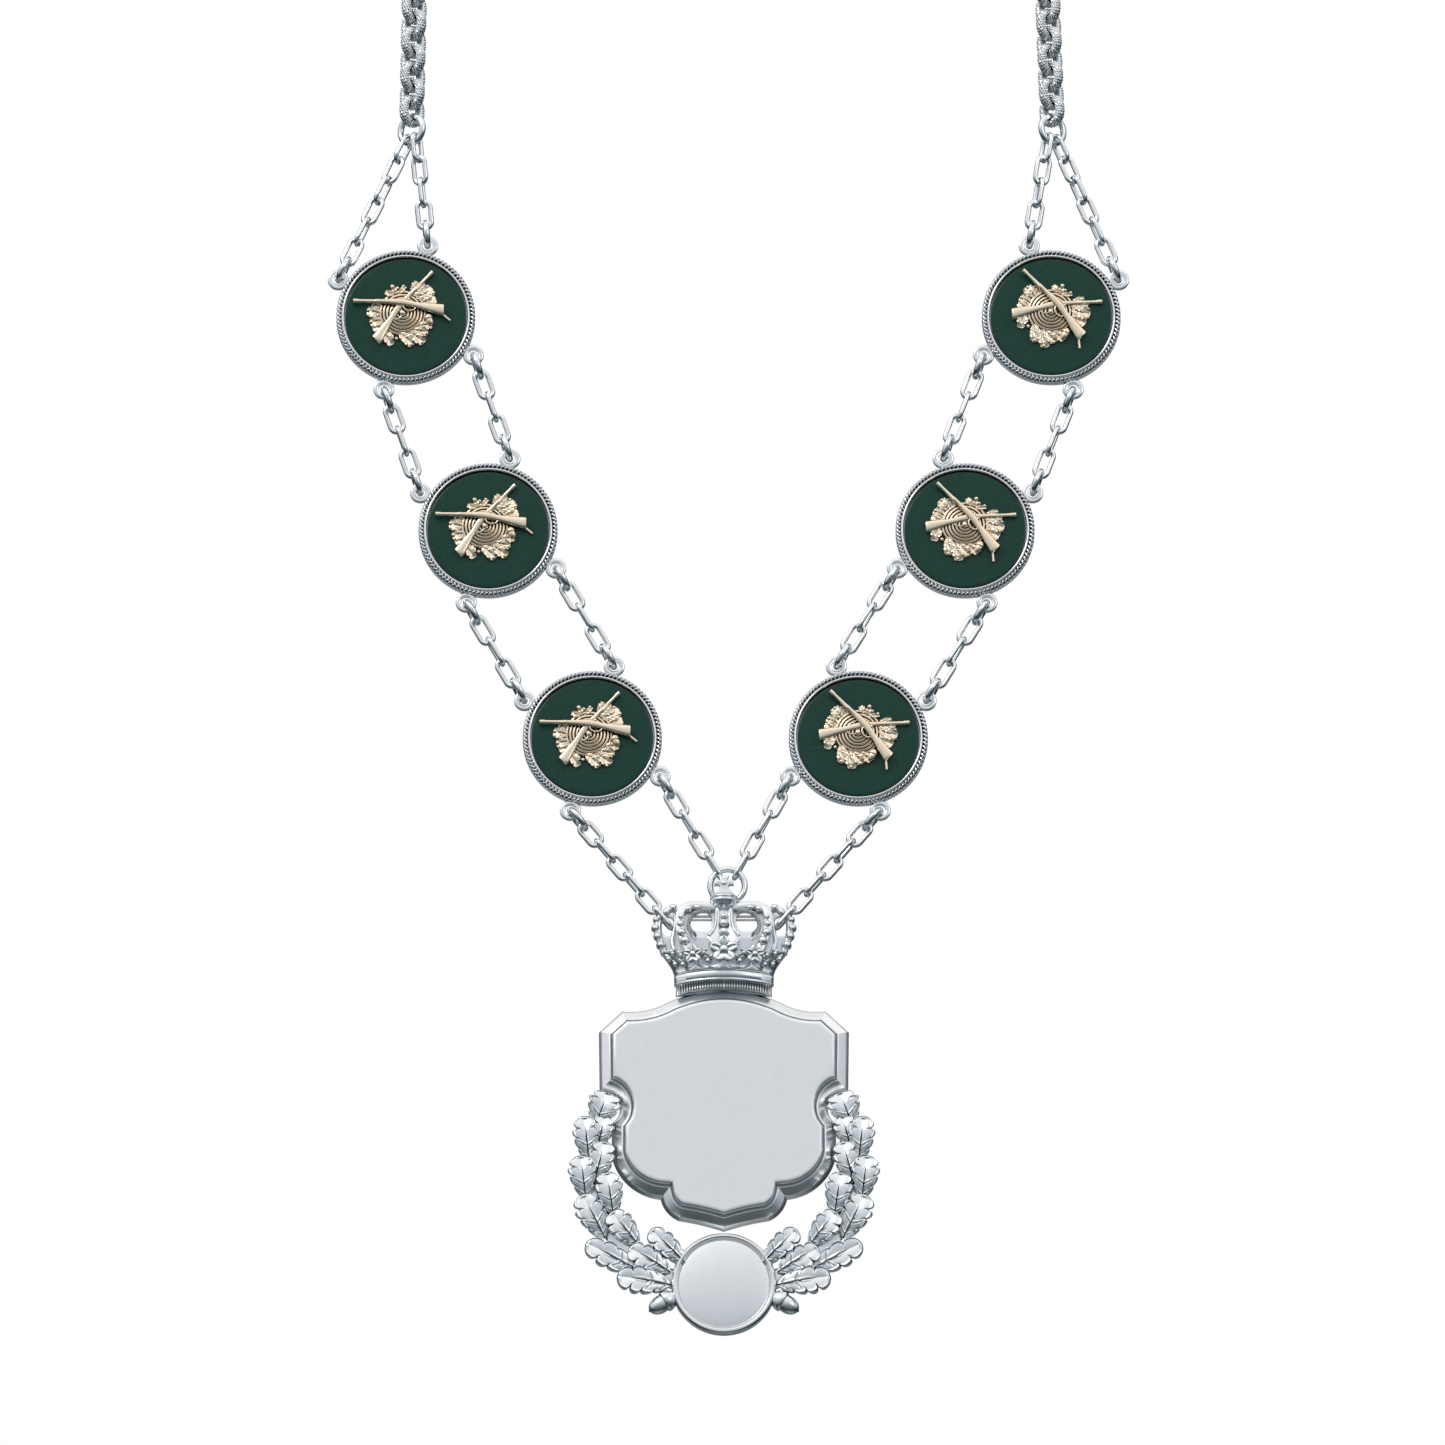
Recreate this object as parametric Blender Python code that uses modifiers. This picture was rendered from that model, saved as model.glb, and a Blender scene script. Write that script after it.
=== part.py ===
"""Shooting guild chain: a silver regalia chain with six enamelled medallions and a pendant.

The origin is the middle of the closing ring at the nape. +X is the viewer's right, +Z is up, and
the medallions and the pendant face -Y. They hang in one upright plane, the chest plane, in which a
place is given by x, by its drop below the connecting rings, and by how far it lies forward.
"""
import math
from collections import namedtuple

import bmesh
import bpy
from mathutils import Matrix, Vector

MM = 0.001
OBJECT_NAME = "shooting_guild_chain"

# Clearances
GAP = 0.3 * MM                  # between pieces that rest on each other
FUSE = 0.08 * MM                # depth to which neighbouring wires of one strand are joined
MERGE = 0.00001                 # merge distance of turned shapes

# The loop round the neck
LOOP_DEPTH = 148.0 * MM         # from the nape forward to the chest plane
LOOP_RISE = 184.0 * MM          # from the connecting rings up to the nape
NECK_CHAIN_DIAMETER = 7.0 * MM
NECK_POINT_SPACING = 3.0        # diameters between points of the tube
CLASP_DIAMETER = 12.0 * MM
CLASP_WIRE = 2.2 * MM

# Connecting rings, between the neck chain and the strands
CONNECTING_RING_DIAMETER = 8.6 * MM
CONNECTING_RING_WIRE = 1.6 * MM
CONNECTING_RING_SPREAD = 80.4 * MM
CONNECTING_RING_ASIDE = 1.3 * MM
CONNECTING_RING_TURN = math.radians(38)
CONNECTING_HOOK_ANGLE = math.radians(26)    # from the ring's lowest point to each strand

# Medallions
MEDALLION_RADIUS = 17.4 * MM
MEDALLION_DEPTH = 3.0 * MM
RIM_WIDTH = 1.95 * MM
BACK_PLATE = 1.0 * MM
ENAMEL_DEPTH = 0.9 * MM
MEDALLION_TILT = math.radians(21.8)
MEDALLION_SIDES = 16
EYE_REACH = 19.6 * MM           # from the medallion's centre to an eye's centre
EYE_RADIUS = 2.8 * MM
EYE_HOLE_RADIUS = 1.35 * MM
EYE_THICKNESS = 1.0 * MM
EYE_SPREAD = math.radians(38)   # from the medallion's axis to each eye
EYE_SIDES = 6
EYE_HOLE_SIDES = 6

# Strand wires
LINK_WIDTH = 4.5 * MM
LINK_WIRE = 1.2 * MM
JUMP_RING_DIAMETER = 7.5 * MM
JUMP_RING_WIRE = 1.6 * MM
LONG_STRAND_LINKS = 6
SHORT_STRAND_LINKS = 4
MIDDLE_STRAND_LINKS = 3
LINK_SIDES = 10
LINK_WIRE_SIDES = 5
RING_SIDES = 10
RING_WIRE_SIDES = 5

# Crown ring
CROWN_RING_DIAMETER = 10.1 * MM
CROWN_RING_WIRE = 1.5 * MM
CROWN_RING_DROP = 198.2 * MM
CROWN_RING_ASIDE = 0.15 * MM
CROWN_HOOK_ANGLE = math.radians(35)         # from the ring's top to each strand

# Crown, measured down from the crown ring's centre
PENDANT_ASIDE = -0.75 * MM
CROWN_HALF_WIDTH = 18.0 * MM
CROWN_TOP_DROP = 4.3 * MM
CROWN_HEIGHT = 23.9 * MM
HOOK_CLEARANCE = 0.45 * MM      # between the crown's plate and the link that passes through it
CIRCLET_BULGE = 0.41            # how far the circlet stands forward, as a share of its radius
CIRCLET_WALL = 1.2 * MM
CIRCLET_STEPS = 6
ARCH_RADIUS = 1.3 * MM
CENTRE_ARCH_DEPTH = 1.4 * MM
ORB_RADIUS = 3.6 * MM
ORB_FLATTENING = 0.84
ORB_FORWARD = 0.8 * MM
ORB_DROP = 3.0 * MM
CROSS_HEIGHT = 4.0 * MM
CROSS_HALF_WIDTH = 2.1 * MM
CROSS_ARM = 0.8 * MM            # half the width of the cross's bars
CROSS_DEPTH = 1.4 * MM
CROSS_FORWARD = 2.0 * MM
CROSS_FOOT_DROP = 2.4 * MM
FLOWER_HEIGHT = 1.5 * MM

# Shield
SHIELD_DROP = 28.6 * MM         # from the crown ring's centre to the shield's top
SHIELD_HALF_WIDTH = 31.2 * MM
SHIELD_HEIGHT = 61.1 * MM
SHIELD_BACK = 1.5 * MM          # how far its back lies behind the chest plane
SHIELD_BORDER = 2.9 * MM
SHIELD_BEVEL_RISE = 2.0 * MM
SHIELD_PLATE_RISE = 3.0 * MM
ARC_STEPS = 3

# Small round plate below the shield
MEDAL_DROP = 103.7 * MM
MEDAL_RADIUS = 13.1 * MM
MEDAL_RIM = 1.2 * MM
MEDAL_RIM_RISE = 1.7 * MM
MEDAL_PLATE_RISE = 1.2 * MM
MEDAL_BACK = 1.0 * MM
MEDAL_SIDES = 18
WEB_HALF_WIDTH = 3.2 * MM

# Oak wreath
WREATH_HALF_WIDTH = 33.0 * MM
WREATH_DROP = 72.0 * MM         # from the crown ring's centre to the centre of the wreath's curve
WREATH_STRETCH = 1.04           # the curve's depth, as a share of the small plate's drop below it
WREATH_STEM_WIDTH = 6.0 * MM
WREATH_STEM_DEPTH = 0.9 * MM
LEAF_DEPTH = 1.3 * MM
LEAF_LIFT = math.radians(9)     # the tips stand forward of the stalks
ACORN_LENGTH = 7.8 * MM
ACORN_RADIUS = 2.3 * MM

# Motif on each medallion
TARGET_SHARE = 0.39             # radius of the target, as a share of the enamel's radius
RIFLE_SHARE = 1.53              # length of a rifle, as a share of the enamel's radius
RIFLE_SLOPE = math.radians(29)
TARGET_DEPTH = 0.6 * MM
RIFLE_DEPTH = 0.9 * MM

# Medallion places: half the distance between the pair and how far their middle lies to the right,
# as shares of the connecting rings' spread, and the drop, as a share of the crown ring's
Place = namedtuple("Place", "name spread aside drop")
MEDALLIONS = (
    Place("upper", 1.006, 0.005, 0.2492),
    Place("middle", 0.7425, -0.001, 0.5313),
    Place("lower", 0.4136, -0.005, 0.8058),
)

# The chosen route of the neck chain on one side, from the connecting ring to the closing ring:
# outward, backward and upward from the connecting ring's centre, as shares of the ring's spread,
# of the loop's depth and of its rise
Route = namedtuple("Route", "out back up")
NECK_ROUTE = (
    Route(1.000, 0.000, 0.030),
    Route(0.996, 0.000, 0.090),
    Route(0.990, 0.000, 0.185),
    Route(0.985, 0.015, 0.300),
    Route(0.983, 0.060, 0.440),
    Route(0.970, 0.160, 0.600),
    Route(0.930, 0.320, 0.755),
    Route(0.840, 0.540, 0.880),
    Route(0.670, 0.770, 0.955),
    Route(0.420, 0.930, 0.988),
    Route(0.190, 0.985, 0.999),
    Route(0.000, 1.000, 1.000),
)

# Shield, right half from the top's middle to the tip: shares of its half width and height, and how
# far the stretch that starts there bulges outward, as a share of the half width
Corner = namedtuple("Corner", "out down bulge")
SHIELD_OUTLINE = (
    Corner(0.000, 0.000, 0.016),
    Corner(0.417, 0.026, -0.034),
    Corner(0.812, 0.064, 0.0),
    Corner(1.000, 0.152, 0.0),
    Corner(0.994, 0.409, -0.112),
    Corner(0.897, 0.538, 0.0),
    Corner(0.897, 0.678, 0.090),
    Corner(0.505, 0.864, 0.075),
    Corner(0.000, 1.000, 0.0),
)

# Crown, right half of its flat plate: shares of its half width and height
CROWN_OUTLINE = (
    Corner(0.000, 0.015, 0.0),
    Corner(0.360, 0.000, 0.0),
    Corner(0.520, 0.010, 0.0),
    Corner(0.590, 0.060, 0.0),
    Corner(0.700, 0.040, 0.0),
    Corner(0.790, 0.063, 0.0),
    Corner(0.970, 0.176, 0.0),
    Corner(1.000, 0.272, 0.0),
    Corner(0.970, 0.390, 0.0),
    Corner(0.873, 0.568, 0.0),
    Corner(0.685, 0.795, 0.0),
    Corner(0.662, 1.070, 0.0),
    Corner(0.000, 1.070, 0.0),
)
CROWN_MAIN_HOLE = ((0.20, 0.117), (0.20, 0.314), (0.445, 0.305), (0.44, 0.18), (0.345, 0.113))
CROWN_SIDE_HOLE = (
    (0.670, 0.210), (0.670, 0.360), (0.720, 0.378), (0.810, 0.375), (0.862, 0.300), (0.850, 0.195),
    (0.760, 0.165),
)
CROWN_HOOK = (0.728, 0.280)

# Circlet: shares of the crown's half width and height
CIRCLET_PROFILE = ((0.873, 0.568), (0.780, 0.670), (0.685, 0.795), (0.662, 1.000))

# Arches in front of the plate: shares of the crown's half width, height and half width
SIDE_ARCH = ((0.50, 0.060, 0.08), (0.61, 0.180, 0.20), (0.61, 0.380, 0.28), (0.53, 0.600, 0.29))
ArchSection = namedtuple("ArchSection", "down half_width forward")
CENTRE_ARCH = (
    ArchSection(0.060, 0.145, 0.09),
    ArchSection(0.300, 0.145, 0.25),
    ArchSection(0.435, 0.222, 0.30),
    ArchSection(0.560, 0.120, 0.31),
)
Flower = namedtuple("Flower", "out down forward radius")
FLOWERS = (
    Flower(0.000, 0.620, 0.325, 0.165),
    Flower(0.415, 0.650, 0.280, 0.115),
    Flower(-0.415, 0.650, 0.280, 0.115),
)

# Oak leaves of the right branch, from the top down. Angles in degrees below the level line through
# the wreath's centre, and distances from that centre and widths as shares of the wreath's curve
Leaf = namedtuple("Leaf", "tip_angle tip_reach stalk_angle stalk_reach width")
LEAVES = (
    Leaf(-30.3, 1.02, -16.3, 1.01, 0.235),
    Leaf(-16.8, 1.10, -1.0, 1.02, 0.185),
    Leaf(-20.2, 0.96, -6.7, 0.96, 0.165),
    Leaf(-7.7, 0.91, 9.1, 0.99, 0.185),
    Leaf(-0.5, 1.08, 14.8, 1.08, 0.200),
    Leaf(7.8, 0.89, 25.9, 0.93, 0.195),
    Leaf(15.9, 1.10, 32.8, 1.08, 0.210),
    Leaf(27.2, 0.94, 44.6, 0.92, 0.195),
    Leaf(45.8, 0.78, 70.0, 0.85, 0.170),
    Leaf(33.9, 1.21, 52.6, 1.08, 0.195),
    Leaf(44.8, 0.99, 65.1, 0.96, 0.190),
    Leaf(49.4, 1.21, 67.5, 1.05, 0.205),
)
# Half the width of a leaf at shares of its length from the stalk, as shares of its width
LEAF_FORM = ((0.30, 0.36), (0.80, 0.46))
WREATH_STEM_ANGLES = (-25, 1, 27, 52, 76)
ACORN_ANGLE = math.radians(-17.4)   # round the small plate, from the level
ACORN_LEAN = math.radians(-32)

# Half of a rifle's side view: shares of its length from the muzzle, top and bottom of its outline
RifleSection = namedtuple("RifleSection", "along top bottom")
RIFLE_OUTLINE = (
    RifleSection(0.00, 0.020, -0.020),
    RifleSection(1.00, 0.010, -0.105),
)
# Leaves round the target: places, length and width as shares of the enamel's radius, angle in degrees
MOTIF_LEAVES = ((0.43, 0.29, 32), (-0.43, 0.29, 148), (0.03, -0.42, 270))
MOTIF_LEAF_LENGTH = 0.42
MOTIF_LEAF_WIDTH = 0.25
MOTIF_LEAF_FORM = ((0.55, 0.50),)

FACING = Matrix.Rotation(math.radians(90), 4, "X")


def clear_scene():
    for obj in list(bpy.data.objects):
        bpy.data.objects.remove(obj)


def new_collection(name, parent):
    collection = bpy.data.collections.new(name)
    parent.children.link(collection)
    return collection


def new_material(name, colour, roughness, metallic):
    material = bpy.data.materials.new(name)
    material.use_nodes = True
    shader = material.node_tree.nodes["Principled BSDF"]
    shader.inputs["Base Color"].default_value = (*colour, 1.0)
    shader.inputs["Roughness"].default_value = roughness
    shader.inputs["Metallic"].default_value = metallic
    return material


clear_scene()
parts = new_collection(OBJECT_NAME, bpy.context.scene.collection)
cutters = new_collection("cutters", bpy.context.scene.collection)
SILVER = new_material("silver", (0.80, 0.82, 0.84), 0.25, 1.0)
ENAMEL = new_material("green_enamel", (0.02, 0.09, 0.06), 0.30, 0.0)
GILT = new_material("gilt", (0.85, 0.62, 0.36), 0.35, 1.0)


def place(x, drop, forward=0.0):
    """The point at x, below the connecting rings and forward of the chest plane."""
    return Vector((x, -LOOP_DEPTH - forward, -LOOP_RISE - drop))


def add_object(name, data, matrix, material=None, collection=None):
    obj = bpy.data.objects.new(name, data)
    (collection or parts).objects.link(obj)
    obj.matrix_world = matrix
    if material:
        data.materials.clear()
        data.materials.append(material)
    return obj


def add_helper(name, data, matrix, collection=None):
    obj = add_object(name, data, matrix, collection=collection or cutters)
    obj.hide_render = True
    obj.display_type = "WIRE"
    return obj


def add_boolean(obj, helper, operation):
    modifier = obj.modifiers.new(operation.lower(), "BOOLEAN")
    modifier.operation = operation
    modifier.solver = "EXACT"
    if isinstance(helper, bpy.types.Collection):
        modifier.operand_type = "COLLECTION"
        modifier.collection = helper
    else:
        modifier.object = helper


def evaluated_mesh(obj):
    """The object's mesh with its modifiers, its caps welded, in its own coordinates."""
    bpy.context.view_layer.update()
    depsgraph = bpy.context.evaluated_depsgraph_get()
    mesh = bpy.data.meshes.new_from_object(obj.evaluated_get(depsgraph))
    form = bmesh.new()
    form.from_mesh(mesh)
    bmesh.ops.remove_doubles(form, verts=form.verts, dist=MERGE / 10)
    form.to_mesh(mesh)
    form.free()
    mesh.name = obj.name
    return mesh


def curve_from_points(name, loops, dimensions, cyclic=True):
    curve = bpy.data.curves.new(name, "CURVE")
    curve.dimensions = dimensions
    curve.render_resolution_u = 0
    for points in loops:
        spline = curve.splines.new("POLY")
        spline.points.add(len(points) - 1)
        for target, point in zip(spline.points, points):
            target.co = (*Vector(point).to_3d(), 1.0)
        spline.use_cyclic_u = cyclic
    return curve


def mesh_from_curve(name, curve):
    obj = add_helper(name, curve, Matrix.Identity(4))
    mesh = evaluated_mesh(obj)
    bpy.data.objects.remove(obj)
    return mesh


def plate_mesh(name, loops, back, front):
    """A flat outline, with its holes, from the depth back to the depth front."""
    curve = curve_from_points(name, loops, "2D")
    curve.fill_mode = "BOTH"
    curve.extrude = (front - back) / 2
    mesh = mesh_from_curve(name, curve)
    mesh.transform(Matrix.Translation((0.0, 0.0, (front + back) / 2)))
    return mesh


def wire_mesh(name, path, radius, sides):
    """A closed round wire along a flat path, with one edge of its section turned inward."""
    section = [
        (-radius * math.cos(2 * math.pi * k / sides), radius * math.sin(2 * math.pi * k / sides))
        for k in range(sides)
    ]
    section_object = add_helper(name + "_section", curve_from_points(name, [section], "2D"),
                                Matrix.Identity(4))
    curve = curve_from_points(name, [path], "3D")
    curve.bevel_mode = "OBJECT"
    curve.bevel_object = section_object
    curve.twist_mode = "Z_UP"
    mesh = mesh_from_curve(name, curve)
    bpy.data.objects.remove(section_object)
    return mesh


def bar_mesh(name, path, radius, resolution):
    """A round bar with filled caps along an open path."""
    curve = curve_from_points(name, [path], "3D", cyclic=False)
    curve.bevel_depth = radius
    curve.bevel_resolution = resolution
    curve.use_fill_caps = True
    return mesh_from_curve(name, curve)


def primitive_mesh(name, make, **sizes):
    form = bmesh.new()
    make(form, **sizes)
    mesh = bpy.data.meshes.new(name)
    form.to_mesh(mesh)
    form.free()
    return mesh


def joined_mesh(name, pieces):
    """One mesh that holds a moved copy of each piece, given as pairs of a mesh and a matrix."""
    form = bmesh.new()
    for mesh, matrix in pieces:
        copy = mesh.copy()
        copy.transform(matrix)
        form.from_mesh(copy)
        bpy.data.meshes.remove(copy)
    result = bpy.data.meshes.new(name)
    form.to_mesh(result)
    form.free()
    return result


def loft_mesh(name, sections):
    """A solid through closed sections that have as many points as each other."""
    form = bmesh.new()
    rings = [[form.verts.new(point) for point in section] for section in sections]
    count = len(rings[0])
    for lower, upper in zip(rings, rings[1:]):
        for k in range(count):
            following = (k + 1) % count
            form.faces.new((lower[k], lower[following], upper[following], upper[k]))
    form.faces.new(list(reversed(rings[0])))
    form.faces.new(rings[-1])
    bmesh.ops.recalc_face_normals(form, faces=form.faces)
    mesh = bpy.data.meshes.new(name)
    form.to_mesh(mesh)
    form.free()
    return mesh


def add_turned(name, profile, sides, matrix, material=None, collection=None):
    """A turned piece: the profile runs from the axis at the front, round the rim, to the back."""
    mesh = bpy.data.meshes.new(name)
    points = [(radius, 0.0, height) for radius, height in profile]
    mesh.from_pydata(points, [(k, k + 1) for k in range(len(points) - 1)], [])
    obj = add_object(name, mesh, matrix, material, collection)
    screw = obj.modifiers.new("turn", "SCREW")
    screw.steps = sides
    screw.render_steps = sides
    screw.use_merge_vertices = True
    screw.merge_threshold = MERGE
    screw.use_smooth_shade = False
    return obj


def circle_path(radius, count):
    return [
        (radius * math.cos(2 * math.pi * k / count), radius * math.sin(2 * math.pi * k / count))
        for k in range(count)
    ]


def oval_path(length, width, count):
    """The middle line of an oval link: two half circles, joined by straight sides."""
    radius = width / 2
    shift = length / 2 - radius
    half = count // 2
    path = []
    for centre, start in ((shift, -math.pi / 2), (-shift, math.pi / 2)):
        for k in range(half):
            angle = start + math.pi * k / (half - 1)
            path.append((centre + radius * math.cos(angle), radius * math.sin(angle)))
    return path


def arc_between(start, end, bulge, steps):
    """Points from start towards end, on an arc that bulges to the left of that direction."""
    start = Vector(start)
    end = Vector(end)
    if abs(bulge) < MERGE:
        return [start]
    chord = end - start
    half = chord.length / 2
    radius = (half * half + bulge * bulge) / (2 * bulge)
    normal = Vector((-chord.y, chord.x)).normalized()
    centre = (start + end) / 2 - normal * (radius - bulge)
    sweep = 2 * math.asin(max(-1.0, min(1.0, half / radius)))
    if abs(bulge) > half:
        sweep = math.copysign(2 * math.pi, bulge) - sweep
    arm = start - centre
    points = []
    for k in range(steps):
        angle = -sweep * k / steps
        turned = Vector((arm.x * math.cos(angle) - arm.y * math.sin(angle),
                         arm.x * math.sin(angle) + arm.y * math.cos(angle)))
        points.append(centre + turned)
    return points


def outline_points(corners, half_width, top, height):
    """The whole outline of a symmetric piece, from the table of its right half."""
    places = [(row.out * half_width, top - row.down * height) for row in corners]
    half = []
    for row, start, end in zip(corners, places, places[1:]):
        half.extend(arc_between(start, end, row.bulge * half_width, ARC_STEPS))
    half.append(Vector(places[-1]))
    mirrored = [Vector((-point.x, point.y)) for point in reversed(half[1:-1])]
    return half + mirrored


def inset_points(points, distance):
    """The outline moved inward by a constant distance."""
    result = []
    for k, point in enumerate(points):
        before = (point - points[k - 1]).normalized()
        after = (points[(k + 1) % len(points)] - point).normalized()
        inward = Vector((before.y + after.y, -before.x - after.x)).normalized()
        reach = distance / max(0.4, inward.dot(Vector((after.y, -after.x))))
        result.append(point + inward * reach)
    return result


def smooth_route(points, spacing):
    """Points at an even spacing on a smooth curve through the chosen ones."""
    ends = [2 * points[0] - points[1]] + points + [2 * points[-1] - points[-2]]
    fine = []
    for p0, p1, p2, p3 in zip(ends, ends[1:], ends[2:], ends[3:]):
        for k in range(24):
            t = k / 24
            fine.append(0.5 * ((2 * p1) + (p2 - p0) * t + (2 * p0 - 5 * p1 + 4 * p2 - p3) * t ** 2
                               + (3 * p1 - p0 - 3 * p2 + p3) * t ** 3))
    fine.append(points[-1])
    length = sum((b - a).length for a, b in zip(fine, fine[1:]))
    count = max(2, round(length / spacing))
    route = [fine[0]]
    travelled = 0.0
    for a, b in zip(fine, fine[1:]):
        step = (b - a).length
        while len(route) < count and travelled + step >= length * len(route) / count:
            share = (length * len(route) / count - travelled) / step
            route.append(a.lerp(b, share))
        travelled += step
    return route + [fine[-1]]


def medallion_matrix(place_row, side):
    x = (side * place_row.spread + place_row.aside) * CONNECTING_RING_SPREAD
    centre = place(x, place_row.drop * CROWN_RING_DROP)
    return Matrix.Translation(centre) @ FACING @ Matrix.Rotation(-side * MEDALLION_TILT, 4, "Z")


def eye_place(matrix, name):
    """Centre of one of a medallion's eyes, as upper_left, upper_right, lower_left, lower_right."""
    level, flank = name.split("_")
    angle = math.radians(90) if level == "upper" else math.radians(270)
    outward = 1 if (level == "upper") == (flank == "left") else -1
    angle += outward * EYE_SPREAD
    return matrix @ Vector((EYE_REACH * math.cos(angle), EYE_REACH * math.sin(angle), 0.0))


def make_rim_mesh():
    """Rim and back plate in one, with four eyes soldered to it."""
    inner = MEDALLION_RADIUS - RIM_WIDTH
    front = MEDALLION_DEPTH / 2
    floor = BACK_PLATE - front
    profile = ((0, floor), (inner, floor), (inner, front), (MEDALLION_RADIUS, front),
               (MEDALLION_RADIUS, -front), (0, -front))
    rim = add_turned("rim_form", profile, MEDALLION_SIDES, Matrix.Identity(4), collection=cutters)
    washer = primitive_mesh("eye", bmesh.ops.create_cone, cap_ends=True, segments=EYE_SIDES,
                            radius1=EYE_RADIUS, radius2=EYE_RADIUS, depth=EYE_THICKNESS)
    bore = primitive_mesh("eye_bore", bmesh.ops.create_cone, cap_ends=True, segments=EYE_HOLE_SIDES,
                          radius1=EYE_HOLE_RADIUS, radius2=EYE_HOLE_RADIUS,
                          depth=2 * EYE_THICKNESS)
    names = ("upper_left", "upper_right", "lower_left", "lower_right")
    spots = [Matrix.Translation(eye_place(Matrix.Identity(4), name)) for name in names]
    washers = add_helper("eyes", joined_mesh("eyes", [(washer, spot) for spot in spots]),
                         Matrix.Identity(4))
    bores = add_helper("eye_bores", joined_mesh("eye_bores", [(bore, spot) for spot in spots]),
                       Matrix.Identity(4))
    add_boolean(rim, washers, "UNION")
    add_boolean(rim, bores, "DIFFERENCE")
    mesh = evaluated_mesh(rim)
    for obj in (rim, washers, bores):
        bpy.data.objects.remove(obj)
    return mesh


def enamel_levels():
    """Back and front of the enamel disc, forward of the medallion's middle plane."""
    back = BACK_PLATE - MEDALLION_DEPTH / 2 + GAP
    return back, back + ENAMEL_DEPTH


def rifle_points(length):
    upper = [Vector((row.along * length, row.top * length)) for row in RIFLE_OUTLINE]
    lower = [Vector((row.along * length, row.bottom * length)) for row in reversed(RIFLE_OUTLINE)]
    return [point - Vector((length / 2, 0.0)) for point in upper + lower]


def leaf_points(length, width, form):
    """A leaf's outline along +X, with its stalk at the origin."""
    right = [Vector((along * length, half * width)) for along, half in form]
    left = [Vector((point.x, -point.y)) for point in reversed(right)]
    return [Vector((0.0, 0.0))] + right + [Vector((length, 0.0))] + left


def make_motif_mesh():
    """Target, two crossed rifles and oak leaves, one casting."""
    radius = MEDALLION_RADIUS - RIM_WIDTH - GAP
    base = enamel_levels()[1] + GAP
    target_top = base + TARGET_DEPTH
    centre = Vector((0.0, 0.05 * radius))
    disc = [Vector(point) + centre for point in circle_path(TARGET_SHARE * radius, 8)]
    casting = add_helper("motif_form", plate_mesh("motif", [disc], base, target_top),
                         Matrix.Identity(4))
    pieces = new_collection("motif_pieces", cutters)
    length = RIFLE_SHARE * radius
    crossing = Vector((0.0, 0.15 * radius, 0.0))
    for layer, flip in ((0, -1), (1, 1)):
        top = target_top + RIFLE_DEPTH * (1 + layer) / 2
        mesh = plate_mesh("rifle", [rifle_points(length)], base + TARGET_DEPTH / 2, top)
        matrix = Matrix.Translation(crossing) @ Matrix.Scale(flip, 4, Vector((1, 0, 0)))
        mesh.transform(matrix @ Matrix.Rotation(-RIFLE_SLOPE, 4, "Z"))
        if flip < 0:
            mesh.flip_normals()
        add_helper("rifle", mesh, Matrix.Identity(4), pieces)
    for x, y, direction in MOTIF_LEAVES:
        outline = leaf_points(MOTIF_LEAF_LENGTH * radius, MOTIF_LEAF_WIDTH * radius, MOTIF_LEAF_FORM)
        mesh = plate_mesh("motif_leaf", [outline], base, target_top + RIFLE_DEPTH / 4)
        middle = Matrix.Translation((x * radius, y * radius, 0.0))
        turn = Matrix.Rotation(math.radians(direction), 4, "Z")
        back_step = Matrix.Translation((-0.6 * MOTIF_LEAF_LENGTH * radius, 0.0, 0.0))
        mesh.transform(middle @ turn @ back_step)
        add_helper("motif_leaf", mesh, Matrix.Identity(4), pieces)
    add_boolean(casting, pieces, "UNION")
    mesh = evaluated_mesh(casting)
    for obj in [casting, *pieces.objects]:
        bpy.data.objects.remove(obj)
    bpy.data.collections.remove(pieces)
    return mesh


def add_medallions():
    rim_mesh = make_rim_mesh()
    motif_mesh = make_motif_mesh()
    back, front = enamel_levels()
    radius = MEDALLION_RADIUS - RIM_WIDTH - GAP
    enamel_profile = ((0, front), (radius, front), (radius, back), (0, back))
    for side, side_name in ((-1, "left"), (1, "right")):
        for row in MEDALLIONS:
            name = f"{side_name}_{row.name}"
            matrix = medallion_matrix(row, side)
            add_object(f"medallion_rim_{name}", rim_mesh, matrix, SILVER)
            add_turned(f"enamel_{name}", enamel_profile, MEDALLION_SIDES, matrix, ENAMEL)
            add_object(f"motif_{name}", motif_mesh, matrix, GILT)


def add_ring(name, centre, diameter, wire, turn=0.0):
    """An upright ring, turned about the vertical."""
    path = circle_path((diameter - wire) / 2, RING_SIDES)
    mesh = wire_mesh(name, path, wire / 2, RING_WIRE_SIDES)
    matrix = Matrix.Translation(centre) @ Matrix.Rotation(turn, 4, "Z") @ FACING
    return add_object(name, mesh, matrix, SILVER)


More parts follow.
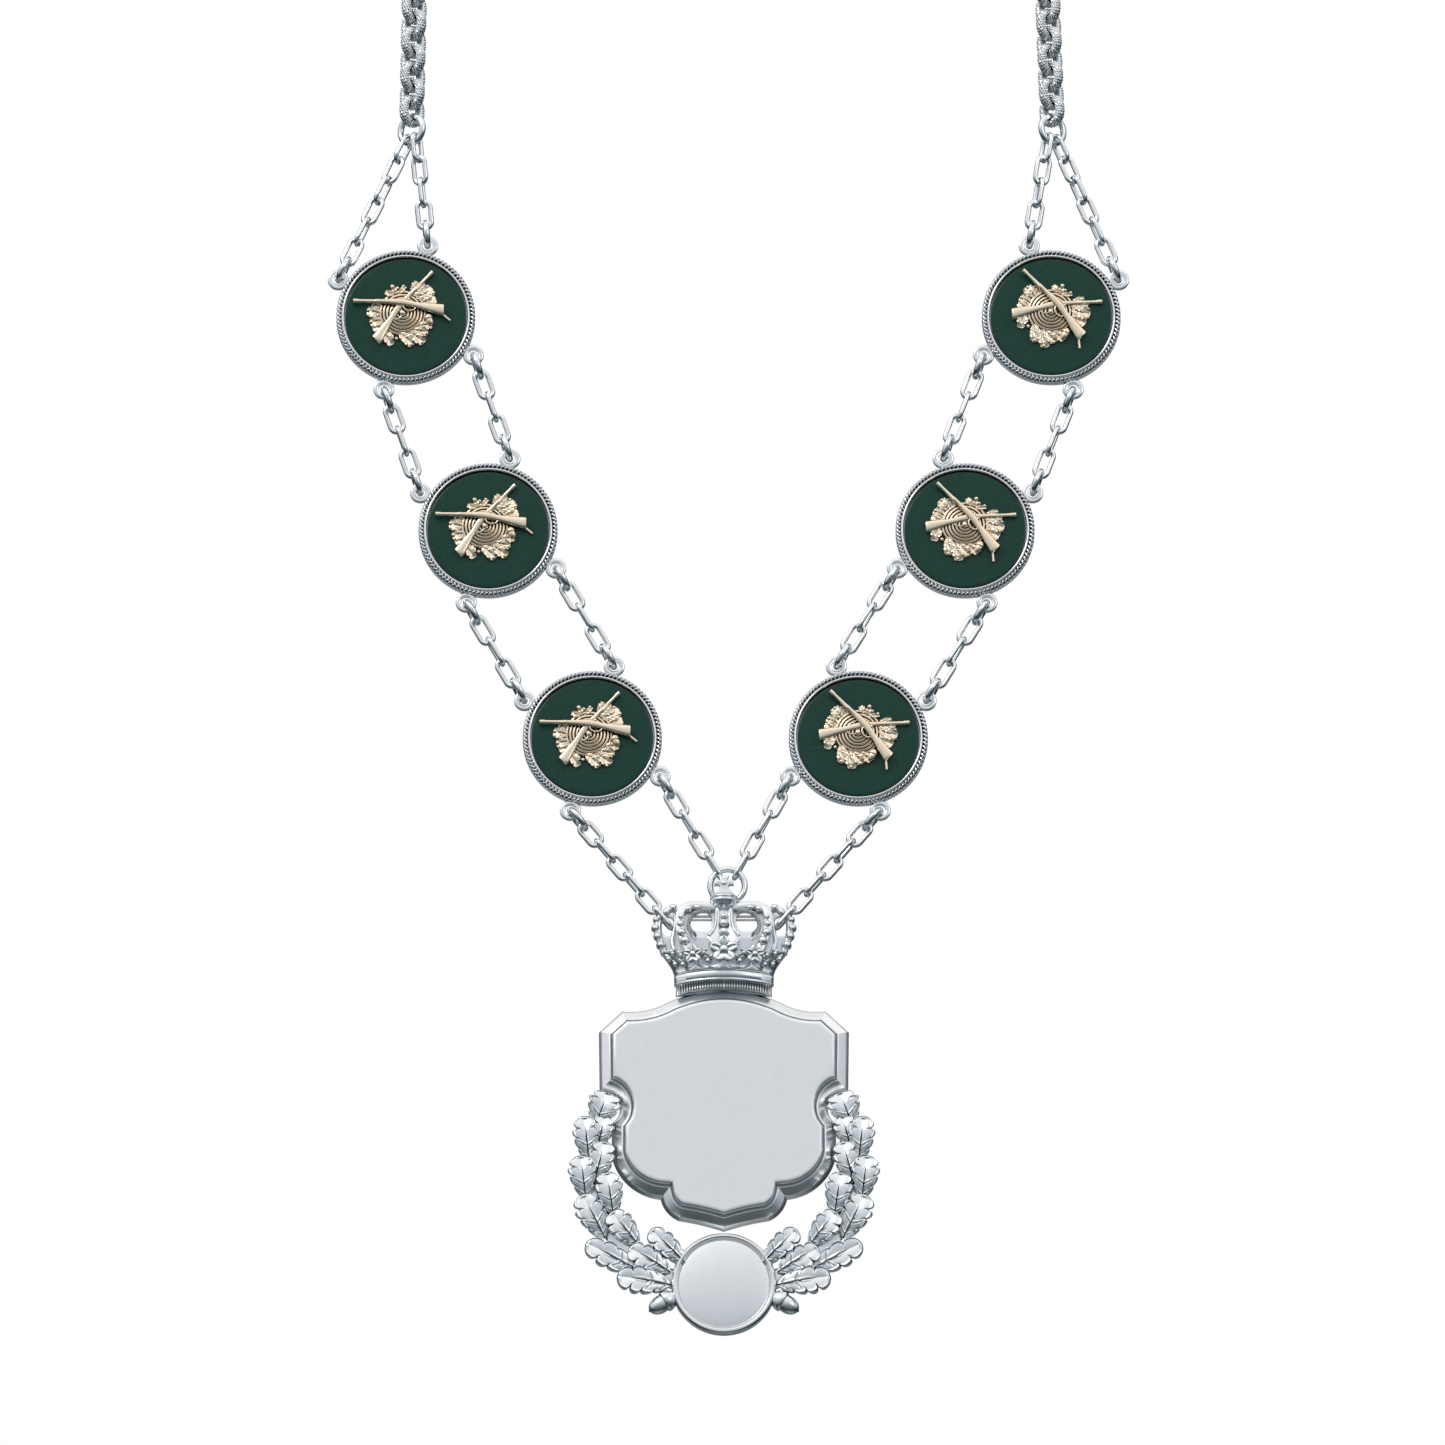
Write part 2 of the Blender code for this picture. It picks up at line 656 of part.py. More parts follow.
def add_strand(name, start, links, end, end_kind, tangent=None):
    """A taut strand from an eye: a jump ring, oval links and what the far end needs.

    The far end is an eye, which takes a second jump ring, a hole that the last link passes
    through, or the wire of a ring, whose direction there is the tangent.
    """
    direction = (end - start).normalized()
    facing = (Vector((0, -1, 0)) - direction * -direction.y).normalized()
    sideways = direction.cross(facing)
    jump_length = JUMP_RING_DIAMETER - JUMP_RING_WIRE
    kinds = ["jump"] + ["link"] * links + (["jump"] if end_kind == "eye" else [])
    radii = [JUMP_RING_WIRE / 2 if kind == "jump" else LINK_WIRE / 2 for kind in kinds]
    span = (end - start).length
    if end_kind == "ring":
        ring_wire = CROWN_RING_WIRE if "crown" in name else CONNECTING_RING_WIRE
        span += ring_wire / 2 + LINK_WIRE / 2 + GAP
    contacts = sum(a + b - FUSE for a, b in zip(radii, radii[1:]))
    jumps = kinds.count("jump")
    link_length = (span + contacts - jumps * jump_length) / links

    jump = wire_mesh("jump_ring", circle_path(jump_length / 2, LINK_SIDES), JUMP_RING_WIRE / 2,
                     LINK_WIRE_SIDES)
    link = wire_mesh("link", oval_path(link_length, LINK_WIDTH - LINK_WIRE, LINK_SIDES),
                     LINK_WIRE / 2, LINK_WIRE_SIDES)
    last_roll = math.radians(90) * len(kinds)
    twist = 0.0
    if tangent:
        wanted = math.atan2(tangent.dot(sideways), tangent.dot(facing))
        twist = (wanted - last_roll + math.pi / 2) % math.pi - math.pi / 2
    elements = []
    position = 0.0
    for k, kind in enumerate(kinds):
        length = jump_length if kind == "jump" else link_length
        roll = math.radians(90) * (k + 1) + twist * k / (len(kinds) - 1)
        normal = facing * math.cos(roll) + sideways * math.sin(roll)
        across = normal.cross(direction)
        centre = start + direction * (position + length / 2)
        basis = Matrix((direction, across, normal)).transposed()
        matrix = Matrix.Translation(centre) @ basis.to_4x4()
        elements.append((jump if kind == "jump" else link, matrix))
        if k + 1 < len(kinds):
            position += length - (radii[k] + radii[k + 1] - FUSE)

    strand = add_object(name, joined_mesh(name, elements[0::2]), Matrix.Identity(4), SILVER)
    others = add_helper(name + "_others", joined_mesh(name + "_others", elements[1::2]),
                        Matrix.Identity(4))
    add_boolean(strand, others, "UNION")


def connecting_ring_centre(side):
    return place(side * CONNECTING_RING_SPREAD + CONNECTING_RING_ASIDE, 0.0)


def connecting_ring_point(side, angle):
    """A point on the connecting ring's wire, and the wire's direction there.

    The angle is taken from the ring's lowest point, towards its outer side.
    """
    outward = Vector((side * math.cos(CONNECTING_RING_TURN), math.sin(CONNECTING_RING_TURN), 0.0))
    up = Vector((0.0, 0.0, 1.0))
    radius = (CONNECTING_RING_DIAMETER - CONNECTING_RING_WIRE) / 2
    point = connecting_ring_centre(side) + radius * (outward * math.sin(angle) - up * math.cos(angle))
    return point, outward * math.cos(angle) + up * math.sin(angle)


def crown_ring_centre():
    return place(CROWN_RING_ASIDE, CROWN_RING_DROP)


def crown_ring_point(side):
    """The point of the crown ring's wire that a strand holds, and the wire's direction there."""
    radius = (CROWN_RING_DIAMETER - CROWN_RING_WIRE) / 2
    angle = side * CROWN_HOOK_ANGLE
    arm = Vector((math.sin(angle), 0.0, math.cos(angle)))
    return crown_ring_centre() + radius * arm, Vector((math.cos(angle), 0.0, -math.sin(angle)))


def pendant_matrix():
    return Matrix.Translation(place(PENDANT_ASIDE, CROWN_RING_DROP)) @ FACING


def crown_point(out, down, forward=0.0):
    """A place on the crown, in the pendant's own coordinates, from shares of its sizes."""
    return Vector((out * CROWN_HALF_WIDTH, -CROWN_TOP_DROP - down * CROWN_HEIGHT,
                   forward * CROWN_HALF_WIDTH))


def add_strands():
    for side, side_name in ((-1, "left"), (1, "right")):
        inner, outer = ("right", "left") if side < 0 else ("left", "right")
        upper, middle, lower = (medallion_matrix(row, side) for row in MEDALLIONS)
        outer_hook, outer_tangent = connecting_ring_point(side, CONNECTING_HOOK_ANGLE)
        inner_hook, inner_tangent = connecting_ring_point(side, -CONNECTING_HOOK_ANGLE)
        add_strand(f"strand_{side_name}_top_outer", eye_place(upper, f"upper_{outer}"),
                   LONG_STRAND_LINKS, outer_hook, "ring", outer_tangent)
        add_strand(f"strand_{side_name}_top_inner", eye_place(upper, f"upper_{inner}"),
                   SHORT_STRAND_LINKS, inner_hook, "ring", inner_tangent)
        for level, above, below in (("upper", upper, middle), ("lower", middle, lower)):
            for flank, flank_name in ((outer, "outer"), (inner, "inner")):
                add_strand(f"strand_{side_name}_{level}_{flank_name}",
                           eye_place(above, f"lower_{flank}"), MIDDLE_STRAND_LINKS,
                           eye_place(below, f"upper_{flank}"), "eye")
        hole = pendant_matrix() @ crown_point(side * CROWN_HOOK[0], CROWN_HOOK[1])
        add_strand(f"strand_{side_name}_crown_outer", eye_place(lower, f"lower_{outer}"),
                   LONG_STRAND_LINKS, hole, "hole")
        hook, tangent = crown_ring_point(side)
        add_strand(f"strand_{side_name}_crown_inner", eye_place(lower, f"lower_{inner}"),
                   SHORT_STRAND_LINKS, hook, "ring", tangent)


def add_rings():
    for side, side_name in ((-1, "left"), (1, "right")):
        add_ring(f"connecting_ring_{side_name}", connecting_ring_centre(side),
                 CONNECTING_RING_DIAMETER, CONNECTING_RING_WIRE, side * CONNECTING_RING_TURN)
    add_ring("crown_ring", crown_ring_centre(), CROWN_RING_DIAMETER, CROWN_RING_WIRE)
    add_ring("clasp_ring", Vector((0.0, 0.0, 0.0)), CLASP_DIAMETER, CLASP_WIRE)


def add_neck_chain():
    start_rise = CONNECTING_RING_DIAMETER / 2 + GAP
    end_reach = CLASP_DIAMETER / 2 + GAP
    for side, side_name in ((-1, "left"), (1, "right")):
        points = []
        for row in NECK_ROUTE:
            up = start_rise + (row.up - NECK_ROUTE[0].up) / (1 - NECK_ROUTE[0].up) * (
                LOOP_RISE - start_rise)
            out = row.out * (CONNECTING_RING_SPREAD - end_reach) + end_reach
            aside = CONNECTING_RING_ASIDE * (1 - row.up / NECK_ROUTE[-1].up)
            points.append(Vector((side * out + aside, -LOOP_DEPTH * (1 - row.back),
                                  up - LOOP_RISE)))
        points[0].x = side * CONNECTING_RING_SPREAD + CONNECTING_RING_ASIDE
        route = smooth_route(points, NECK_POINT_SPACING * NECK_CHAIN_DIAMETER)
        curve = curve_from_points(f"neck_chain_{side_name}", [route], "3D", cyclic=False)
        curve.bevel_depth = NECK_CHAIN_DIAMETER / 2
        curve.bevel_resolution = 2
        curve.use_fill_caps = True
        add_object(f"neck_chain_{side_name}", curve, Matrix.Identity(4), SILVER)


def shield_mesh():
    outer = outline_points(SHIELD_OUTLINE, SHIELD_HALF_WIDTH, -SHIELD_DROP, SHIELD_HEIGHT)
    inner = inset_points(outer, SHIELD_BORDER)
    levels = ((outer, -SHIELD_BACK), (outer, 0.0), (inner, SHIELD_BEVEL_RISE),
              (inner, SHIELD_PLATE_RISE))
    return loft_mesh("shield", [[(p.x, p.y, level) for p in points] for points, level in levels])


def crown_plate_mesh():
    thickness = LINK_WIDTH - 2 * LINK_WIRE - 2 * HOOK_CLEARANCE
    loops = [outline_points(CROWN_OUTLINE, CROWN_HALF_WIDTH, -CROWN_TOP_DROP, CROWN_HEIGHT)]
    for side in (-1, 1):
        for hole in (CROWN_MAIN_HOLE, CROWN_SIDE_HOLE):
            loops.append([crown_point(side * out, down).to_2d() for out, down in hole])
    return plate_mesh("crown_plate", loops, -thickness / 2, thickness / 2)


def circlet_mesh():
    """The crown's flared band: half a turned shell, pressed flat towards the plate."""
    form = bmesh.new()
    points = [crown_point(out, down) for out, down in CIRCLET_PROFILE]
    verts = [form.verts.new(point) for point in points]
    edges = [form.edges.new(pair) for pair in zip(verts, verts[1:])]
    bmesh.ops.spin(form, geom=verts + edges, cent=(0, 0, 0), axis=(0, 1, 0), angle=-math.pi,
                   steps=CIRCLET_STEPS, use_duplicate=False)
    bmesh.ops.scale(form, vec=(1.0, 1.0, CIRCLET_BULGE), verts=form.verts)
    bmesh.ops.recalc_face_normals(form, faces=form.faces)
    mesh = bpy.data.meshes.new("circlet")
    form.to_mesh(mesh)
    form.free()
    obj = add_helper("circlet_form", mesh, Matrix.Identity(4))
    wall = obj.modifiers.new("wall", "SOLIDIFY")
    wall.thickness = CIRCLET_WALL
    wall.offset = -1.0
    shell = evaluated_mesh(obj)
    bpy.data.objects.remove(obj)
    return shell


def centre_arch_mesh():
    sections = []
    for row in CENTRE_ARCH:
        corner = crown_point(row.half_width, row.down, row.forward)
        back = corner.z - CENTRE_ARCH_DEPTH
        sections.append(((-corner.x, corner.y, back), (corner.x, corner.y, back),
                         tuple(corner), (-corner.x, corner.y, corner.z)))
    return loft_mesh("centre_arch", sections)


def cross_mesh():
    top = CROSS_HEIGHT - CROSS_FOOT_DROP
    arm_level = top - CROSS_HEIGHT * 0.4
    corners = ((CROSS_ARM, top), (CROSS_ARM, arm_level + CROSS_ARM),
               (CROSS_HALF_WIDTH, arm_level + CROSS_ARM), (CROSS_HALF_WIDTH, arm_level - CROSS_ARM),
               (CROSS_ARM, arm_level - CROSS_ARM), (CROSS_HALF_WIDTH, -CROSS_FOOT_DROP))
    outline = [Vector(corner) for corner in corners]
    outline += [Vector((-point.x, point.y)) for point in reversed(outline)]
    return plate_mesh("cross", [outline], CROSS_FORWARD - CROSS_DEPTH / 2,
                      CROSS_FORWARD + CROSS_DEPTH / 2)


def add_crown(castings):
    def add(name, mesh):
        add_helper(name, mesh, pendant_matrix(), castings)

    add("crown_plate", crown_plate_mesh())
    add("circlet", circlet_mesh())
    add("centre_arch", centre_arch_mesh())
    for side in (-1, 1):
        path = [crown_point(side * out, down, forward) for out, down, forward in SIDE_ARCH]
        add("side_arch", bar_mesh("side_arch", path, ARCH_RADIUS, 0))
    for row in FLOWERS:
        radius = row.radius * CROWN_HALF_WIDTH
        flower = primitive_mesh("flower", bmesh.ops.create_cone, cap_ends=True, segments=5,
                                radius1=radius, radius2=radius * 0.4, depth=FLOWER_HEIGHT)
        flower.transform(Matrix.Translation(crown_point(row.out, row.down, row.forward)))
        add("flower", flower)
    orb = primitive_mesh("orb", bmesh.ops.create_uvsphere, u_segments=8, v_segments=5,
                         radius=ORB_RADIUS)
    orb.transform(Matrix.Translation((0.0, -ORB_DROP, ORB_FORWARD))
                  @ Matrix.Diagonal((1.0, ORB_FLATTENING, ORB_FLATTENING, 1.0)))
    add("orb", orb)
    add("cross", cross_mesh())


def wreath_point(angle, reach, forward=0.0):
    """A place on the right branch, in the pendant's own coordinates."""
    turn = math.radians(angle)
    depth = (MEDAL_DROP - WREATH_DROP) * WREATH_STRETCH
    return Vector((reach * WREATH_HALF_WIDTH * math.cos(turn),
                   -WREATH_DROP - reach * depth * math.sin(turn), forward))


def add_wreath(castings):
    mirror = Matrix.Scale(-1, 4, Vector((1, 0, 0)))
    half = WREATH_STEM_WIDTH / 2 / WREATH_HALF_WIDTH
    band = [wreath_point(angle, 1 + half).to_2d() for angle in WREATH_STEM_ANGLES]
    band += [wreath_point(angle, 1 - half).to_2d() for angle in reversed(WREATH_STEM_ANGLES)]
    pieces = [plate_mesh("wreath_stem", [band], -MEDAL_BACK, WREATH_STEM_DEPTH - MEDAL_BACK)]
    for row in LEAVES:
        stalk = wreath_point(row.stalk_angle, row.stalk_reach)
        tip = wreath_point(row.tip_angle, row.tip_reach)
        outline = leaf_points((tip - stalk).length, row.width * WREATH_HALF_WIDTH, LEAF_FORM)
        leaf = plate_mesh("leaf", [outline], -LEAF_DEPTH / 2, LEAF_DEPTH / 2)
        along = tip - stalk
        turn = Matrix.Rotation(math.atan2(along.y, along.x), 4, "Z")
        leaf.transform(Matrix.Translation(stalk) @ turn @ Matrix.Rotation(-LEAF_LIFT, 4, "Y"))
        pieces.append(leaf)
    acorn = primitive_mesh("acorn", bmesh.ops.create_uvsphere, u_segments=6, v_segments=4,
                           radius=ACORN_RADIUS)
    stretch = Matrix.Diagonal((1.0, 1.0, ACORN_LENGTH / 2 / ACORN_RADIUS, 1.0))
    lay = Matrix.Rotation(math.radians(90), 4, "Y")
    lean = Matrix.Rotation(ACORN_LEAN, 4, "Z")
    reach = MEDAL_RADIUS + ACORN_LENGTH / 3
    middle = Vector((reach * math.cos(ACORN_ANGLE), reach * math.sin(ACORN_ANGLE) - MEDAL_DROP, 0.0))
    acorn.transform(Matrix.Translation(middle) @ lean @ lay @ stretch)
    pieces.append(acorn)
    for mesh in pieces:
        twin = mesh.copy()
        twin.transform(mirror)
        twin.flip_normals()
        add_helper(mesh.name, mesh, pendant_matrix(), castings)
        add_helper(twin.name, twin, pendant_matrix(), castings)


def add_medal(castings):
    inner = MEDAL_RADIUS - MEDAL_RIM
    profile = ((0, MEDAL_PLATE_RISE), (inner, MEDAL_PLATE_RISE), (inner, MEDAL_RIM_RISE),
               (MEDAL_RADIUS, MEDAL_RIM_RISE), (MEDAL_RADIUS, -MEDAL_BACK), (0, -MEDAL_BACK))
    matrix = pendant_matrix() @ Matrix.Translation((0.0, -MEDAL_DROP, 0.0))
    medal = add_turned("medal", profile, MEDAL_SIDES, matrix, collection=castings)
    medal.hide_render = True
    medal.display_type = "WIRE"
    top = -SHIELD_DROP - SHIELD_HEIGHT + SHIELD_BORDER / 2
    bottom = -MEDAL_DROP + MEDAL_RADIUS - MEDAL_RIM
    web = [Vector((WEB_HALF_WIDTH, top)), Vector((-WEB_HALF_WIDTH, top)),
           Vector((-WEB_HALF_WIDTH, bottom)), Vector((WEB_HALF_WIDTH, bottom))]
    add_helper("web", plate_mesh("web", [web], -MEDAL_BACK * 0.8, MEDAL_PLATE_RISE / 2),
               pendant_matrix(), castings)


def add_pendant():
    """Shield, crown, wreath and small plate, soldered into one solid."""
    pendant = add_object("pendant", shield_mesh(), pendant_matrix(), SILVER)
    castings = new_collection("pendant_castings", cutters)
    add_crown(castings)
    add_wreath(castings)
    add_medal(castings)
    add_boolean(pendant, castings, "UNION")
    channel = wire_mesh("ring_channel",
                        circle_path((CROWN_RING_DIAMETER - CROWN_RING_WIRE) / 2, RING_SIDES),
                        CROWN_RING_WIRE / 2 + GAP, RING_WIRE_SIDES)
    cutter = add_helper("ring_channel", channel, Matrix.Translation(crown_ring_centre()) @ FACING)
    add_boolean(pendant, cutter, "DIFFERENCE")


add_medallions()
add_rings()
add_strands()
add_neck_chain()
add_pendant()
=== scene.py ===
"""Looks of the shooting guild chain: every CAD piece is replaced by a finely modelled one.

The origin is the middle of the closing ring at the nape. +X is the viewer's right, +Z is up, and
the medallions and the pendant face -Y. The chain hangs in one upright plane, the chest plane, in
which a place is given by x, by its drop below the connecting rings, and by how far it lies forward.
A size carries its unit, MM, unless a comment says that its numbers are millimetres or shares.
"""
import math
import random
from collections import namedtuple

import bmesh
import bpy
from mathutils import Matrix, Vector


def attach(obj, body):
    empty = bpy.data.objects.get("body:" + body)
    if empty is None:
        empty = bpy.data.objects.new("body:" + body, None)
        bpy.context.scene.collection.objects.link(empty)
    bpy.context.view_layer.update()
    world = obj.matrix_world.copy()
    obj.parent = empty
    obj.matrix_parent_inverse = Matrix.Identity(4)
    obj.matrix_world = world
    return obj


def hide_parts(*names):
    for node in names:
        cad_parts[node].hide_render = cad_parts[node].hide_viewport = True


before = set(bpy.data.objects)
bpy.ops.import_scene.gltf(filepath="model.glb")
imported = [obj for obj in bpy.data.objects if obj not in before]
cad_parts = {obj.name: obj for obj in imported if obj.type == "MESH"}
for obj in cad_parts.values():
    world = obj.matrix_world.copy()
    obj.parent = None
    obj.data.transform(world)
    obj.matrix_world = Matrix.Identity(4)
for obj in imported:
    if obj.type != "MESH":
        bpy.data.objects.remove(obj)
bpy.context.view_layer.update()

MM = 0.001
MERGE = 0.000002
SIDES = ((-1, "left"), (1, "right"))
FRONT = Vector((0.0, -1.0, 0.0))
UP = Vector((0.0, 0.0, 1.0))


def table(columns, *rows):
    """Rows with named columns."""
    row_type = namedtuple("Row", columns)
    return tuple(row_type(*row) for row in rows)


# Camera: it looks up at the hanging chain from the front
VIEW_TARGET = Vector((-1.1 * MM, -148.0 * MM, -339.5 * MM))
VIEW_ELEVATION = math.radians(-17)
VIEW_DISTANCE = 12.0
VIEW_WIDTH = 361.25 * MM        # seen at the target
VIEW_CLIP = (0.1, 100.0)
SENSOR_WIDTH = 36.0             # millimetres, as Blender's camera takes it

# Stage
FLOOR_HEIGHT = -4.2
FLOOR_SIZE = 10.0
FLOOR_STEPS = 8
LIGHTS = table("name location size power", ("key", (-1.2, -1.7, 1.1), 0.8, 9.0),
               ("fill", (1.4, -1.8, 0.1), 1.2, 3.0))
WHITE = (1.0, 1.0, 1.0)
# What the metal reflects, from straight below to straight above with a lean to the left
WORLD_RAMP = (
    (0.00, (0.520, 0.570, 0.585)), (0.06, (0.380, 0.430, 0.445)), (0.12, (0.120, 0.165, 0.180)),
    (0.22, (0.095, 0.135, 0.150)), (0.32, (0.190, 0.235, 0.250)), (0.40, (0.310, 0.350, 0.370)),
    (0.48, (0.400, 0.445, 0.470)), (0.56, (0.540, 0.580, 0.615)), (0.645, (0.650, 0.672, 0.710)),
    (0.72, (0.790, 0.805, 0.830)), (0.80, WHITE))
WORLD_LEAN = (-0.12, 0.0, 0.99)
# How much of it is left towards the back and below
WORLD_SHADE = ((0.47, 1.0), (0.53, 0.14), (0.66, 0.08), (0.77, 0.10), (0.86, 0.55), (0.92, 0.90),
               (1.0, 0.70))
WORLD_SHADE_SIDE = (0.0, 0.8, -0.6)

# Sizes of the CAD pieces that the route of the wires depends on; angles in degrees
LOOP_DEPTH = 148.0 * MM
LOOP_RISE = 184.0 * MM
CLASP_DIAMETER = 12.0 * MM
CLASP_WIRE = 2.2 * MM
CONNECTING_RING_DIAMETER = 8.6 * MM
CONNECTING_RING_WIRE = 1.6 * MM
CONNECTING_RING_SPREAD = 80.4 * MM
CONNECTING_RING_ASIDE = 1.3 * MM
CONNECTING_RING_TURN = 38
CONNECTING_HOOK_ANGLE = 26
CROWN_RING_DIAMETER = 10.1 * MM
CROWN_RING_WIRE = 1.5 * MM
CROWN_RING_DROP = 198.2 * MM
CROWN_RING_ASIDE = 0.15 * MM
CROWN_HOOK_ANGLE = 35
PENDANT_ASIDE = -0.75 * MM
GAP = 0.3 * MM                  # between wires that don't touch
RING_STEPS = 48
RING_WIRE_SIDES = 16
ROUND_STEPS = 128               # round the medallions and the small plate

# Medallions; angles in degrees
MEDALLION_RADIUS = 17.4 * MM
MEDALLION_HALF_DEPTH = 1.5 * MM
MEDALLION_TILT = 21.8
# The rim's section in millimetres, outward from its radius and forward from its front
RIM_SECTION = ((-1.95, -0.42), (-1.89, -0.20), (-1.75, -0.05), (-1.55, 0.0), (-1.33, -0.14),
               (-1.23, -0.50), (-0.08, -0.80), (0.0, -1.00), (0.0, -2.80), (-0.20, -3.00))
DISH_DEPTH = 2.0 * MM           # in which the enamel lies
ENAMEL_RADIUS = 15.2 * MM
ENAMEL_BACK = -0.2 * MM
ENAMEL_FRONT = 1.08 * MM
# The enamel's front: share of its radius, and how far below its middle in millimetres
ENAMEL_DOME = ((0.0, 0.0), (0.2, 0.00096), (0.4, 0.00768), (0.6, 0.02592), (0.8, 0.06144),
               (0.9, 0.08748), (0.96, 0.10617), (0.985, 0.16), (1.0, 0.30))
MOTIF_BASE = 1.08 * MM
ROPE_INNER = 16.15 * MM
ROPE_STROKES = 100
ROPE_SAMPLES = 8
ROPE_FILL = 0.62                # share of the pitch that a stroke takes
ROPE_EDGE = 4                   # how steep its edges are
ROPE_SLANT = 0.9 * MM           # how far a stroke runs along the rim from edge to edge
ROPE_RELIEF = 0.50 * MM
ROPE_RELIEF_ASIDE = 0.8         # share of the relief that the edge also draws in sideways
ROPE_FULLNESS = 1.15            # height of the ring over a plain half round
ROPE_ARC = (-12, 12, 38, 64, 90, 116, 142, 168, 192)
EYE_REACH = 19.6 * MM
EYE_RADIUS = 2.65 * MM
EYE_HOLE_RADIUS = 1.3 * MM
EYE_THICKNESS = 1.1 * MM
EYE_SPREAD = 38
EYE_NAMES = ("upper_left", "upper_right", "lower_left", "lower_right")
EYE_STEPS = 36
EYE_SECTION_SIDES = 14
EYE_WALL = 1.25                 # above 1 the walls of the hole and the outside are straight
EYE_BEVEL = 0.97                # how far their middle stands out beside their edges
EYE_BEVEL_START = 0.9
EYE_ROUNDNESS = 0.6
EYE_NECK = 1.5 * MM             # radius of the bar that holds it
EYE_NECK_REACH = (-0.5 * MM, 0.3 * MM)      # from the rim's radius
FLAT = 0.3                      # depth of a flattened bar over its width

# Strands
LINK_WIDTH = 4.5 * MM
LINK_WIRE = 1.2 * MM
JUMP_RING_DIAMETER = 7.5 * MM
JUMP_RING_WIRE = 1.6 * MM
FUSE = 0.08 * MM                # depth to which neighbouring wires run into each other
LONG_STRAND_LINKS = 6
SHORT_STRAND_LINKS = 4
MIDDLE_STRAND_LINKS = 3
LINK_STEPS = 36
WIRE_SIDES = 12
ROLL_SCATTER = math.radians(7)  # uneven lie of the links

# Neck chain
NECK_LINK_PITCH = 4.54 * MM
NECK_LINK_WIDTH = 7.5 * MM
NECK_LINK_STRETCH = 0.7         # how much of a changed pitch the link itself takes up
NECK_LINK_ROLL = math.radians(45)
NECK_WIRE_THICKNESS = 2.0 * MM  # across the ring
NECK_WIRE_WIDTH = 2.6 * MM      # along the ring's axis
NECK_WIRE_ROUNDNESS = 0.85
NECK_LINK_STEPS = 64
NECK_ROUTE_STEPS = 40
KNURL_COLUMNS = 15              # round the outer side of the wire
SMOOTH_COLUMNS = 3              # round the inner side
KNURL_REACH = math.radians(112)
KNURL_RELIEF = 0.17 * MM
KNURL_PEAK = 0.40
KNURL_VALLEY = -0.60

# Crown, measured down from the crown ring's centre
CROWN_HALF_WIDTH = 18.0 * MM
CROWN_TOP_DROP = 4.3 * MM
CROWN_HEIGHT = 23.9 * MM
CROWN_PLATE = 1.3 * MM
CROWN_HOOK = (0.728, 0.280)

# Shield
SHIELD_DROP = 28.6 * MM
SHIELD_HALF_WIDTH = 31.2 * MM
SHIELD_HEIGHT = 61.1 * MM
SHIELD_ARC_STEPS = 20

# Small round plate, and its section in millimetres: radius and height
MEDAL_DROP = 103.7 * MM
MEDAL_RADIUS = 13.1 * MM
MEDAL_SECTION = ((0.0, 1.50), (2.0, 1.485), (4.0, 1.43), (6.0, 1.335), (8.0, 1.195), (9.5, 1.06),
                 (10.6, 0.94), (11.2, 0.84), (11.4, 0.62), (11.62, 0.62), (11.75, 1.0),
                 (11.9, 1.42), (12.2, 1.6), (12.6, 1.56), (12.9, 1.28), (13.08, 0.9),
                 (13.1, -0.8), (12.9, -1.0), (0.0, -1.0))

# Oak wreath; angles in degrees
WREATH_HALF_WIDTH = 33.0 * MM
WREATH_DROP = 72.0 * MM
WREATH_DEPTH = 32.97 * MM
WREATH_STEM_ANGLES = (-24, -10, 4, 18, 32, 46, 60, 76)
WREATH_STEM_RADIUS = 2.6 * MM
WREATH_STEM_FORWARD = -0.3 * MM
LEAF_LIFT = 9
LEAF_DEPTH = 1.05 * MM
# A leaf's notches from the stalk to the tip: share of its length, then in shares of its width the
# width there and how much the lobe before it swells
LEAF_NOTCHES = table("along width swell", (0.0, 0.34, 0.0), (0.18, 0.62, 0.22), (0.42, 0.72, 0.28),
                     (0.68, 0.52, 0.42), (1.0, 0.0, 0.54))
LEAF_LOBE = 2.2                 # how square the lobes are
LEAF_TIP_HALF = 0.02            # half the width of its stalk and tip at least
LEAF_STEPS = 44
LEAF_VEINS = (0.08, 0.34)
LEAF_VEIN_STEPS = (-0.040, -0.028, -0.016, -0.008, 0.0, 0.008, 0.016, 0.024, 0.032, 0.040, 0.056)
LEAF_VEIN = 0.016               # width of a side vein
LEAF_BOW = 1.00                 # how far the leaf's middle rises, in shares of its depth
LEAF_BOW_MIDDLE = 0.85          # twice the share of the length at which the bow is highest
LEAF_RAKE = 0.80                # how much the veins and lobes lean towards the tip
# Shares of half the width at which a leaf's surface is drawn, from the middle vein to the edge
LEAF_COLUMNS = (0.0, 0.02, 0.045, 0.08, 0.15, 0.26, 0.38, 0.50, 0.62, 0.72, 0.80, 0.87, 0.93, 0.97,
                1.0)
# Relief of a leaf in shares of its depth: height, middle and width of a rounded ridge
LEAF_EDGE = (0.42, 0.90, 0.055)
LEAF_TIP = (0.40, 0.96, 0.022)
LEAF_PIT = (0.60, 0.0, 0.016)
# Shares of half the width at which parts of the relief start or end
LEAF_PIT_START = 0.74
LEAF_DROOP_START = 0.93
LEAF_VEIN_END = 0.62
